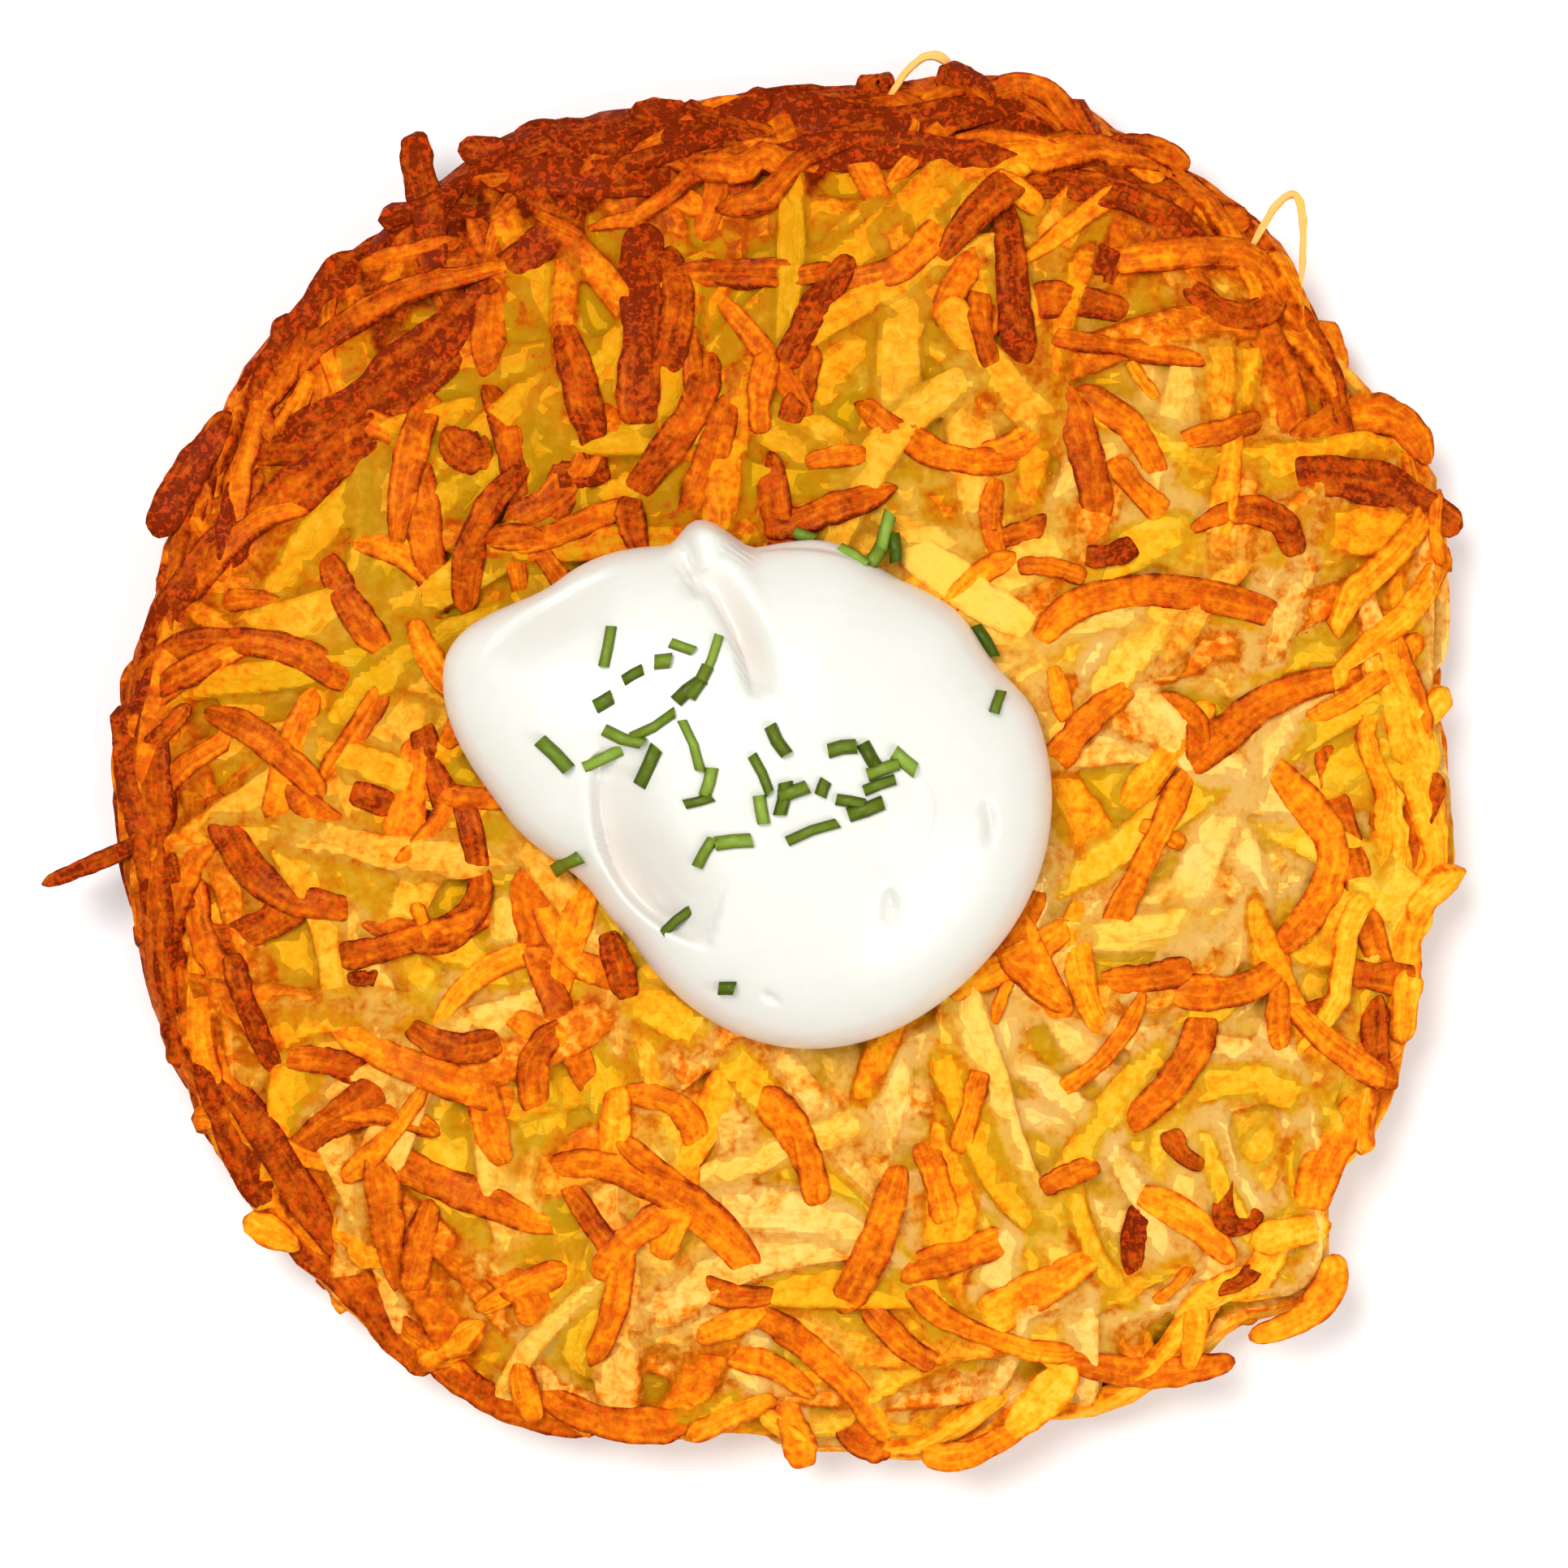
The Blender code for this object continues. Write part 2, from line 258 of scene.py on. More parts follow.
UPPER_RIGHT_SHREDS = (
    ((7, 43), (3, 37), (1, 33), 2.8, 7),
    ((2, 37), (3, 33), (1, 28), 2.4, 6),
    ((15, 46), (11, 42), (6, 41), 3.0, 4),
    ((22, 50), (18, 47), (14, 42), 2.8, 7),
    ((20, 48), (21, 40), (21, 33), 3.0, 8),
    ((7, 30), (14, 26), (22, 26), 3.2, 5),
    ((-1, 19), (5, 21), (11, 23), 2.8, 6),
    ((25, 32), (27, 26), (28, 19), 3.2, 6),
    ((26, 31), (31, 28), (33, 24), 2.8, 5),
    ((29, 26), (32, 22), (34, 21), 2.8, 5),
    ((18, 18), (21, 19), (24, 20), 2.6, 7),
    ((22, 39), (26, 39), (31, 38), 3.0, 7),
    ((24, 36), (30, 35), (38, 34), 2.0, 6),
    ((42, 39), (44, 33), (45, 26), 3.2, 6),
    ((45, 39), (48, 34), (49, 27), 2.6, 8),
    ((36, 41), (40, 38), (44, 40), 3.0, 8),
    ((35, 27), (39, 28), (42, 29), 2.4, 6),
    ((45, 26), (52, 30), (57, 25), 3.6, 6),
    ((44, 24), (52, 23), (60, 20), 3.6, 8),
    ((36, 19), (42, 21), (45, 17), 2.4, 7),
    ((27, 17), (29, 17), (31, 18), 2.6, 9),
    ((21, 16), (24, 16), (27, 15), 2.0, 6),
)
RIGHT_SHREDS = (
    ((23, 9), (31, 14), (46, 11), 3.0, 6),
    ((24, -1), (27, 3), (31, 6), 3.0, 5),
    ((51, 7), (42, 4), (35, -1), 3.2, 6),
    ((36, -1), (32, -8), (29, -16), 3.0, 5),
    ((52, 12), (55, 6), (56, 0), 2.2, 6),
    ((33, 5), (36, 3), (36, -1), 2.4, 6),
    ((42, 0), (48, -9), (43, -17), 3.2, 5),
    ((44, -17), (40, -20), (34, -20), 2.8, 5),
    ((47, 1), (50, -9), (53, -21), 2.8, 6),
    ((48, -18), (52, -19), (56, -19), 2.8, 7),
    ((28, -19), (32, -19), (36, -18), 2.6, 6),
    ((37, -22), (35, -27), (30, -32), 3.0, 6),
    ((52, -28), (48, -34), (46, -39), 3.2, 4),
    ((23, -11), (20, -17), (16, -21), 2.0, 6),
    ((52, -20), (52, -26), (54, -28), 2.6, 7),
    ((57, -1), (55, -7), (58, -12), 3.8, 8),
    ((32, -20), (29, -25), (24, -29), 1.8, 5),
    ((44, -22), (46, -22), (49, -21), 2.0, 7),
)
BOTTOM_SHREDS = (
    ((18, -27), (17, -30), (16, -34), 2.4, 4),
    ((13, -33), (14, -36), (15, -40), 3.0, 5),
    ((11, -35), (9, -41), (6, -48), 3.2, 5),
    ((-1, -29), (2, -32), (4, -37), 3.0, 5),
    ((20, -41), (15, -43), (11, -44), 3.0, 5),
    ((12, -45), (17, -49), (26, -51), 2.4, 5),
    ((24, -51), (32, -53), (40, -52), 2.4, 6),
    ((18, -48), (22, -46), (28, -43), 3.4, 3),
    ((8, -47), (11, -50), (14, -52), 2.6, 6),
    ((-2, -47), (5, -52), (10, -59), 3.0, 5),
    ((13, -60), (19, -59), (25, -53), 2.6, 4),
    ((32, -38), (31, -41), (31, -45), 2.2, 9),
    ((34, -32), (35, -34), (37, -35), 1.8, 8),
    ((39, -36), (39, -40), (42, -39), 2.0, 8),
    ((41, -50), (47, -47), (48, -43), 3.0, 3),
    ((-25, -44), (-21, -46), (-20, -49), 3.2, 6),
    ((-6, -45), (-3, -46), (1, -46), 2.2, 7),
    ((37, -46), (40, -45), (42, -43), 1.8, 8),
    ((23, -37), (25, -36), (28, -35), 2.4, 6),
    ((1, -55), (2, -58), (3, -61), 2.8, 4),
    ((6, -57), (8, -59), (10, -59), 3.0, 7),
    ((-20, -54), (-14, -57), (-7, -57), 3.0, 6),
)
LEFT_SHREDS = (
    ((-55, 6), (-46, 10), (-36, 6), 3.2, 6),
    ((-48, -3), (-43, -11), (-35, -13), 3.2, 7),
    ((-36, -13), (-26, -14), (-27, -2), 3.0, 7),
    ((-30, 3), (-29, -1), (-27, -5), 2.6, 7),
    ((-49, 4), (-43, 1), (-38, -4), 2.8, 6),
    ((-50, -15), (-45, -15), (-40, -12), 3.0, 7),
    ((-37, -17), (-31, -16), (-23, -13), 2.6, 6),
    ((-54, -7), (-58, -9), (-63, -11), 1.6, 8),
    ((-20, -9), (-20, -17), (-15, -29), 3.0, 6),
    ((-17, -23), (-20, -26), (-20, -31), 2.8, 6),
    ((-14, -15), (-13, -18), (-12, -21), 2.4, 8),
    ((-38, -23), (-31, -26), (-21, -30), 3.2, 4),
    ((-33, -28), (-37, -31), (-41, -34), 3.4, 7),
    ((-34, -33), (-27, -37), (-17, -41), 3.2, 5),
    ((-34, -33), (-33, -39), (-32, -46), 2.8, 6),
    ((-29, -38), (-30, -42), (-31, -46), 2.8, 6),
    ((-19, -35), (-9, -37), (-1, -45), 3.4, 5),
    ((-15, -31), (-10, -35), (-4, -39), 2.0, 6),
    ((-18, -36), (-15, -40), (-12, -44), 2.2, 6),
    ((-13, -29), (-8, -30), (-6, -35), 2.6, 5),
    ((-31, -23), (-27, -25), (-23, -24), 2.6, 7),
    ((-36, -19), (-35, -19), (-34, -19), 1.6, 9),
    ((-36, -3), (-33, -4), (-30, -5), 2.6, 7),
    ((-40, -1), (-40, -4), (-36, -6), 2.6, 6),
    ((-46, -17), (-45, -21), (-42, -27), 2.0, 8),
    ((-42, -26), (-38, -26), (-34, -28), 2.6, 7),
    ((-55, 3), (-54, -5), (-52, -12), 3.8, 8),
    ((-53, -8), (-52, -15), (-51, -22), 3.6, 9),
    ((-50, -25), (-46, -32), (-42, -39), 3.8, 9),
    ((-48, -26), (-43, -33), (-37, -43), 3.0, 8),
    ((-42, -39), (-35, -46), (-30, -53), 3.4, 8),
    ((-30, -50), (-24, -55), (-14, -58), 3.2, 7),
)

# The cream's outline about its own centre, as lobes, and its spoon marks
CREAM_CENTRE = (4.1 * MM, -3.7 * MM)
CREAM_RADIUS = 19.8 * MM
CREAM_LOBES = (
    (146, 54, 9.4),
    (162, 22, 6.4),
    (113, 9, 2.8),
    (183, 22, 4.8),
    (203, 16, 1.0),
    (262, 60, 1.6),
    (92, 24, 2.2),
    (38, 18, -1.0),
)
CREAM_SEGMENTS = 224
CREAM_RINGS = 150
CREAM_FULLNESS = 2.7
CREAM_EDGE_LIFT = 0.9 * MM
CREAM_UNDERSIDE = 3.0 * MM
PEAK_PLACE = (-6.0, 19.5)
PEAK_REACH = 4.5
PEAK_RISE = 2.4
# Each mark, in mm: start, middle and end, drop, width of its steep side, width of its gentle side.
# The gentle side lies to the right of the way the mark runs.
SPOON_MARKS = (
    ((-5.0, -16.9), (-13.6, -10.6), (-15.0, 1.0), 1.5, 1.0, 8.0),
    ((-6.8, 14.6), (-3.9, 9.6), (-2.2, 4.2), -1.5, 0.8, 4.2),
    ((-5.4, 15.4), (3.6, 16.9), (14.2, 13.0), -0.5, 0.5, 3.0),
    ((-8.4, 17.6), (-7.6, 15.2), (-7.0, 12.6), -0.9, 0.6, 2.2),
    ((18.0, -3.9), (19.0, -5.9), (18.6, -8.1), 0.45, 0.4, 1.6),
    ((10.0, -11.2), (10.7, -12.8), (10.0, -14.8), 0.5, 0.4, 2.0),
    ((12.2, -0.6), (14.0, -6.2), (9.6, -11.4), 0.35, 0.8, 4.5),
    ((-0.2, -19.8), (0.4, -20.4), (0.5, -21.2), 0.5, 0.4, 1.0),
    ((-24.5, 8.6), (-20.0, 12.6), (-13.0, 16.0), 0.5, 1.0, 5.0),
)

# Cut chives, in mm and degrees: the middle, the length and the heading
CHIVES_LAID = (
    (-13.6, 8.7, 3.5, 80),
    (-11.5, 6.3, 1.9, 30),
    (-9.0, 7.4, 1.4, 5),
    (-7.4, 8.6, 2.1, -20),
    (-13.9, 4.0, 1.7, 30),
    (-4.9, 7.6, 4.2, 70),
    (-5.9, 5.6, 3.1, 60),
    (-6.9, 5.0, 2.8, 40),
    (-18.0, -0.3, 3.5, -45),
    (-14.0, -0.7, 3.5, 25),
    (-12.3, 0.9, 3.5, -20),
    (-9.7, 1.9, 4.2, 30),
    (-10.2, -1.4, 3.5, 65),
    (-6.4, 0.4, 4.5, -70),
    (-5.1, -2.7, 2.4, 75),
    (-6.0, -4.3, 2.4, 15),
    (0.5, 0.7, 2.8, -60),
    (-0.7, -2.0, 3.5, -65),
    (1.1, -4.1, 2.8, 80),
    (1.9, -3.5, 2.5, 20),
    (-0.8, -5.0, 2.4, -80),
    (4.3, -3.2, 1.4, 70),
    (5.9, 0.2, 2.4, 10),
    (8.3, -0.7, 2.8, -60),
    (9.3, -1.6, 2.8, 20),
    (11.1, -1.0, 2.4, -40),
    (9.0, -2.9, 2.8, 20),
    (6.6, -4.3, 2.4, -10),
    (7.9, -5.0, 3.1, 20),
    (3.4, -6.7, 4.5, 20),
    (-3.1, -7.6, 3.1, 5),
    (-5.5, -8.5, 2.8, 60),
    (-17.3, -9.3, 2.8, 25),
    (-8.0, -14.2, 3.1, 40),
    (-3.7, -19.8, 1.4, 0),
    (19.0, 4.2, 2.1, 70),
    (18.3, 9.7, 3.1, -60),
    (9.7, 18.9, 3.5, 75),
    (9.1, 17.1, 2.8, 60),
    (10.6, 17.6, 2.5, -85),
    (6.9, 16.8, 2.8, -35),
    (2.8, 18.6, 1.8, -20),
)


def deselect_all():
    for obj in bpy.context.selected_objects:
        obj.select_set(False)


def take(obj):
    """Makes obj the one thing that operators act on."""
    deselect_all()
    obj.select_set(True)
    bpy.context.view_layer.objects.active = obj


def apply_modifier(obj, kind, settings):
    """Adds a modifier with these settings and applies it."""
    take(obj)
    modifier = obj.modifiers.new(kind.lower(), kind)
    for key, value in settings.items():
        setattr(modifier, key, value)
    bpy.ops.object.modifier_apply(modifier=modifier.name)


def coordinates(obj):
    places = np.zeros(len(obj.data.vertices) * 3, np.float32)
    obj.data.vertices.foreach_get("co", places)
    return places.reshape(-1, 3).astype(float)


def place(obj, places):
    obj.data.vertices.foreach_set("co", places.astype(np.float32).ravel())
    obj.data.update()


def stand_on_floor(obj):
    """Flattens whatever reaches below the surface that the cake lies on."""
    places = coordinates(obj)
    places[:, 2] = np.maximum(places[:, 2], 0)
    place(obj, places)
    return places


def write_attribute(obj, name, values):
    """Stores one number for each point of the mesh, for the material to read."""
    layer = obj.data.attributes.get(name) or obj.data.attributes.new(name, "FLOAT", "POINT")
    layer.data.foreach_set("value", np.asarray(values, np.float32))


def read_attribute(obj, name):
    values = np.zeros(len(obj.data.vertices), np.float32)
    obj.data.attributes[name].data.foreach_get("value", values)
    return values.astype(float)


def blur_attribute(obj, name, passes):
    """Evens a stored number out between neighbouring points."""
    ends = np.zeros(len(obj.data.edges) * 2, np.int32)
    obj.data.edges.foreach_get("vertices", ends)
    ends = ends.reshape(-1, 2)
    here = np.concatenate([ends[:, 0], ends[:, 1]])
    there = np.concatenate([ends[:, 1], ends[:, 0]])
    values = read_attribute(obj, name)
    neighbours = np.maximum(np.bincount(here, minlength=len(values)), 1)
    for _pass in range(passes):
        around = np.bincount(here, weights=values[there], minlength=len(values)) / neighbours
        values = (values + around) / 2
    write_attribute(obj, name, values)


def raised_cosine(offset, half_width):
    """1 in the middle, falling smoothly to 0 at half_width."""
    share = np.clip(np.abs(offset) / half_width, 0, 1)
    return 0.5 + 0.5 * np.cos(np.pi * share)


def smooth_step(low, high, value):
    share = np.clip((value - low) / (high - low), 0, 1)
    return share * share * (3 - 2 * share)


def evened_out(values, window):
    """Each value replaced by the mean of its neighbours in a window with an odd length."""
    padded = np.pad(values, window // 2, mode="edge")
    return np.convolve(padded, np.full(window, 1 / window), mode="valid")


def length_of(line):
    return np.linalg.norm(np.diff(line, axis=0), axis=1).sum()


def through(start, middle, end, count):
    """Points on the smooth bow from start over middle to end."""
    along = np.linspace(0, 1, count)[:, None]
    start, middle, end = np.array(start, float), np.array(middle, float), np.array(end, float)
    handle = 2 * middle - (start + end) / 2
    return (1 - along) ** 2 * start + 2 * along * (1 - along) * handle + along**2 * end


def lobes_at(angle, lobes):
    """The sum of the lobes in a direction."""
    total = 0.0
    for direction, half_width, rise in lobes:
        offset = (np.degrees(angle) - direction + 180) % 360 - 180
        total = total + rise * raised_cosine(offset, half_width)
    return total


def from_middle(direction, reach):
    """The place on the plan that lies this far from the cake's middle in a direction."""
    return CAKE_CENTRE[0] + reach * math.cos(direction), CAKE_CENTRE[1] + reach * math.sin(direction)


def cake_radius(angle):
    """How far the cake's outline is from its middle in a direction."""
    return CAKE_RADIUS + MM * lobes_at(angle, CAKE_LOBES)


def cake_polar(x, y):
    """Distance from the cake's middle, the outline's distance in that direction, and the direction."""
    across, up = x - CAKE_CENTRE[0], y - CAKE_CENTRE[1]
    angle = np.arctan2(up, across)
    return np.hypot(across, up), cake_radius(angle), angle


def cake_share(x, y):
    distance, radius, _angle = cake_polar(x, y)
    return distance / radius


def edge_fullness(share):
    return np.sqrt(1 - np.minimum(share, 1) ** EDGE_FALL)


def cake_surface(x, y, stiff=1.0):
    """Height of the cake's upper face without its loose shreds, falling no further than at stiff."""
    share = np.minimum(cake_share(x, y), stiff)
    return MIDDLE_HEIGHT + HALF_HEIGHT * edge_fullness(share) + DOME * (1 - share**2)


def cake_underside(x, y):
    """Height of the cake's lower face, which is flat and curves up to the edge."""
    return MIDDLE_HEIGHT - HALF_HEIGHT * edge_fullness(cake_share(x, y))


def edge_browning(x, y):
    """How much the pan's heat adds towards the edge, more on its hot sides."""
    distance, radius, angle = cake_polar(x, y)
    heat = lobes_at(angle, HOT_SIDES)
    share = distance / radius
    near = smooth_step(EDGE_BROWNING_FROM, 1.0, share) + INNER_BROWNING * smooth_step(*INNER_SPAN, share)
    return heat * near / (1 + INNER_BROWNING)


def bed_heat(x, y):
    """How strongly the bed has fried all over: 0 on the palest side, 1 by the hottest edge."""
    distance, radius, angle = cake_polar(x, y)
    side = lobes_at(angle, BED_HEAT) * smooth_step(0.0, 0.45, distance / radius)
    return np.clip(side, 0, 1)


class Shred:
    """One shred: its line, the way its flat side faces, its size and how it has cooked."""

    def __init__(self, line, facing, width, thickness, tone, brown):
        self.line = line
        self.facing = facing
        self.width = width
        self.thickness = thickness
        self.tone = tone
        self.brown = brown

    def bent(self, pattern, station):
        """The points of the straight strip, bent along this shred."""
        along = np.gradient(self.line, axis=0)
        along /= np.linalg.norm(along, axis=1)[:, None]
        side = np.cross(self.facing, along)
        side /= np.linalg.norm(side, axis=1)[:, None]
        up = np.cross(along, side)
        steps = np.linalg.norm(np.gradient(self.line, axis=0), axis=1)
        bend = evened_out(np.linalg.norm(np.gradient(along, axis=0), axis=1) / steps, BEND_WINDOW)
        widest = WIDTH_TO_BEND / np.maximum(bend, 1.0)
        half_width = np.minimum(self.width / 2, widest)[station, None]
        half_thickness = (self.thickness / 2)[station, None]
        block = self.line[station]
        block = block + side[station] * pattern[:, 1, None] * half_width
        return block + up[station] * pattern[:, 2, None] * half_thickness


def strip_template(rings, corner_cuts):
    """A straight strip with rounded corners, 1 long on X and 2 wide and thick, closed at its ends."""
    deselect_all()
    bpy.ops.mesh.primitive_plane_add(size=2, rotation=(0, math.pi / 2, 0))
    strip = bpy.context.object
    bpy.ops.object.transform_apply(location=True, rotation=True, scale=True)
    bpy.ops.object.mode_set(mode="EDIT")
    bpy.ops.mesh.select_all(action="SELECT")
    bpy.ops.mesh.bevel(offset=STRIP_CORNER, affect="VERTICES", segments=corner_cuts)
    for _ring in range(rings - 1):
        step = (1 / (rings - 1), 0, 0)
        bpy.ops.mesh.extrude_region_move(TRANSFORM_OT_translate={"value": step})
    bpy.ops.mesh.select_all(action="SELECT")
    bpy.ops.mesh.normals_make_consistent(inside=False)
    bpy.ops.object.mode_set(mode="OBJECT")
    return strip


def lay_shreds(name, shreds, rings=STATIONS, corner_cuts=2):
    """Copies of the strip, each bent along its own shred, joined as one mesh."""
    strip = strip_template(rings, corner_cuts)
    strip.name = name
    strip.data.name = name
    pattern = coordinates(strip)
    apply_modifier(strip, "ARRAY", {"count": len(shreds), "use_relative_offset": False})
    used = np.rint(np.linspace(0, STATIONS - 1, rings)).astype(int)
    station = used[np.rint(pattern[:, 0] * (rings - 1)).astype(int)]
    near_end = smooth_step(0.90, 1.0, np.abs(2 * pattern[:, 0] - 1))
    side_edge = np.maximum(np.abs(pattern[:, 1]), near_end)
    place(strip, np.concatenate([shred.bent(pattern, station) for shred in shreds]))
    write_attribute(strip, "tone", np.repeat([shred.tone for shred in shreds], len(station)))
    write_attribute(strip, "brown", np.concatenate([shred.brown[station] for shred in shreds]))
    write_attribute(strip, "outline", np.tile(side_edge, len(shreds)))
    write_attribute(strip, "across", np.tile(pattern[:, 1], len(shreds)))
    lengthwise = [pattern[:, 0] * length_of(shred.line) for shred in shreds]
    write_attribute(strip, "along", np.concatenate(lengthwise))
    return strip


def draped(line, ground):
    """Heights at which a soft shred lies on the ground object, sagging a little into its hollows."""
    stiff = cake_surface(line[:, 0], line[:, 1], STIFF_SHARE)
    heights = np.empty(len(line))
    for index, (x, y) in enumerate(line):
        hit, spot, _normal, _face = ground.ray_cast((x, y, DROP_FROM), (0, 0, -1))
        heights[index] = spot.z if hit and spot.z > stiff[index] - DEEPEST_SAG else stiff[index]
    window = int(np.clip(DRAPE / length_of(line) * STATIONS, 5, STATIONS - 1)) | 1
    return evened_out(heights, window)


def wander(dice, count, size):
    """A smooth random drift along a shred, from a few slow waves."""
    along = np.linspace(0, 1, count)
    drift = np.zeros(count)
    for wave in WANDER_WAVES:
        drift += dice.uniform(-1, 1) / wave**0.8 * np.sin(math.pi * wave * along + dice.uniform(0, 6))
    return drift * size


def shred_sizes(dice, width, thickness, bluntness):
    """Width and thickness at each station, uneven along the shred and drawn in at either end."""
    along = np.linspace(-1, 1, STATIONS)
    tail = (1 - dice.uniform(*bluntness)) * np.clip(-along, 0, 1) ** dice.uniform(2.5, 8)
    head = (1 - dice.uniform(*bluntness)) * np.clip(along, 0, 1) ** dice.uniform(2.5, 8)
    beyond = np.clip(np.abs(along) - ROUNDED_FROM, 0, None) / ROUNDED_OVER
    rounding = np.sqrt(1 - beyond**2)
    widths = width * rounding * (1 - tail - head) * (1 + wander(dice, STATIONS, WIDTH_UNEVEN))
    drawn_in = 1 - 0.7 * (tail + head)
    thicknesses = thickness * rounding * drawn_in * (1 + wander(dice, STATIONS, THICKNESS_UNEVEN))
    return widths, thicknesses


def ends_down(power, drop):
    """How far a shred's ends lie below its middle, for a drop in mm at the very end."""
    return np.abs(np.linspace(-1, 1, STATIONS)) ** power * drop * MM


def lying_shred(dice, line, height, tilt, sizes, brown=None):
    """A shred with its flat side up, tipped at random by about tilt."""
    facing = np.tile((dice.gauss(0, tilt), dice.gauss(0, tilt), 1.0), (STATIONS, 1))
    return Shred(np.column_stack([line, height]), facing, *sizes, dice.uniform(0, 1), brown)


def random_line(dice, x, y, heading, length, bend):
    """A line on the plan that turns by bend over its length, with its middle at x, y."""
    unsteady = 0.16 * min(1.0, length / (20 * MM))
    turning = heading + bend * np.linspace(-0.5, 0.5, STATIONS) + wander(dice, STATIONS, unsteady)
    steps = length / (STATIONS - 1) * np.stack([np.cos(turning), np.sin(turning)], axis=1)
    line = np.cumsum(steps, axis=0)
    return line - line.mean(axis=0) + (x, y)


def keep_inside(line, margin):
    """Pulls a line's points back inside the cake's outline, less a margin."""
    distance, radius, angle = cake_polar(line[:, 0], line[:, 1])
    reach = np.minimum(distance, radius - margin)
    middle_x, middle_y = CAKE_CENTRE
    return np.stack([middle_x + reach * np.cos(angle), middle_y + reach * np.sin(angle)], axis=1)


def pressed_lines(dice, count, lengths, margins):
    """Lines spread evenly over the plan, at random headings, kept inside the cake's outline."""
    for index in range(count):
        x, y = from_middle(index * GOLDEN_ANGLE, math.sqrt((index + 0.5) / count) * CAKE_RADIUS)
        length = dice.uniform(*lengths) * MM
        heading = dice.uniform(0, 2 * math.pi)
        line = random_line(dice, x, y, heading, length, dice.gauss(0, 0.7))
        yield keep_inside(line, dice.uniform(*margins) * MM)


def bed_shreds(settings, dice):
    """Golden shreds pressed together at many depths, so that those on top show whole."""
    for line in pressed_lines(dice, settings.bed_count, BED_LENGTHS, BED_MARGINS):
        depth = LEAST_BED_DEPTH + dice.uniform(0, 1) ** 1.3 * settings.bed_depth
        height = cake_surface(line[:, 0], line[:, 1]) - depth - ends_down(3, dice.uniform(0.2, 1.0))
        height = height + wander(dice, STATIONS, 0.25 * MM)
        width = dice.uniform(*PRESSED_WIDTHS) * settings.shred_width
        sizes = shred_sizes(dice, width, settings.shred_thickness, (0.2, 0.7))
        shred = lying_shred(dice, line, height, 0.12, sizes)
        shred.brown = np.full(STATIONS, 0.02 + 0.40 * dice.uniform(0, 1) ** 3)
        yield shred


def underside_shreds(settings, dice):
    """Shreds that were pressed flat against the pan, evenly fried."""
    for line in pressed_lines(dice, settings.underside_count, UNDERSIDE_LENGTHS, UNDERSIDE_MARGINS):
        width = dice.uniform(*PRESSED_WIDTHS) * settings.shred_width
        sizes = shred_sizes(dice, width, settings.shred_thickness, (0.2, 0.7))
        lift = settings.shred_thickness / 2 + dice.uniform(-0.1, 0.6) * MM
        height = cake_underside(line[:, 0], line[:, 1]) + lift + wander(dice, STATIONS, 0.15 * MM)
        shred = lying_shred(dice, line, height, 0.08, sizes)
        shred.brown = np.full(STATIONS, 0.20 + 0.45 * dice.uniform(0, 1) ** 1.5)
        yield shred


def rim_point(turned, roll, proud):
    """Places and outward facings on the rounded edge: roll is -90 below, 0 at the side, 90 on top."""
    sine = np.sin(np.radians(roll))
    share = np.maximum(np.cos(np.radians(roll)), 0.01) ** (2 / EDGE_FALL)
    radius = cake_radius(turned)
    steepness = EDGE_FALL * share ** (EDGE_FALL - 1) / radius
    rise = 2 * sine / HALF_HEIGHT
    slant = np.hypot(steepness, rise)
    outward, upward = steepness / slant, rise / slant
    reach = radius * share + proud * outward
    z = MIDDLE_HEIGHT + HALF_HEIGHT * sine + DOME * (1 - share**2) + proud * upward
    x = CAKE_CENTRE[0] + reach * np.cos(turned)
    y = CAKE_CENTRE[1] + reach * np.sin(turned)
    facing = np.column_stack([outward * np.cos(turned), outward * np.sin(turned), upward])
    return np.column_stack([x, y, np.maximum(z, RIM_LOWEST)]), facing


def rim_shreds(settings, dice, count, rolls, proudness, extra, evenness):
    """Shreds that run round the side and shoulder, one over the other, more of them where it is hot."""
    laid = 0
    while laid < count:
        direction = dice.uniform(0, 2 * math.pi)
        if dice.uniform(0, 1) > evenness + lobes_at(direction, HOT_SIDES):
            continue
        laid += 1
        length = dice.uniform(*RIM_LENGTHS) * MM
        along = np.linspace(-0.5, 0.5, STATIONS)
        turned = direction + along * length / CAKE_RADIUS
        start = dice.uniform(*rolls)
        # Towards the top a degree of roll covers more ground, so the shred sways by fewer of them
        sway = math.cos(math.radians(start)) ** 1.2
        slope = dice.gauss(0, 34) * length / (15 * MM) * sway
        roll = np.clip(start + slope * along + wander(dice, STATIONS, 7) * sway, *ROLL_LIMITS)
        ends = (2 * np.abs(along)) ** 4 * 0.8 * MM
        proud = dice.uniform(*proudness) * MM - ends + wander(dice, STATIONS, 0.35 * MM)
        line, facing = rim_point(turned, roll, proud)
        width = dice.uniform(*LOOSE_WIDTHS) * settings.shred_width
        sizes = shred_sizes(dice, width, settings.shred_thickness, (0.15, 0.6))
        heat = 0.07 + edge_browning(line[:, 0], line[:, 1])
        brown = np.clip(heat + extra + dice.gauss(0, 0.09), LEAST_RIM_BROWN, 1)
        yield Shred(line, facing, *sizes, dice.uniform(0, 1), brown)


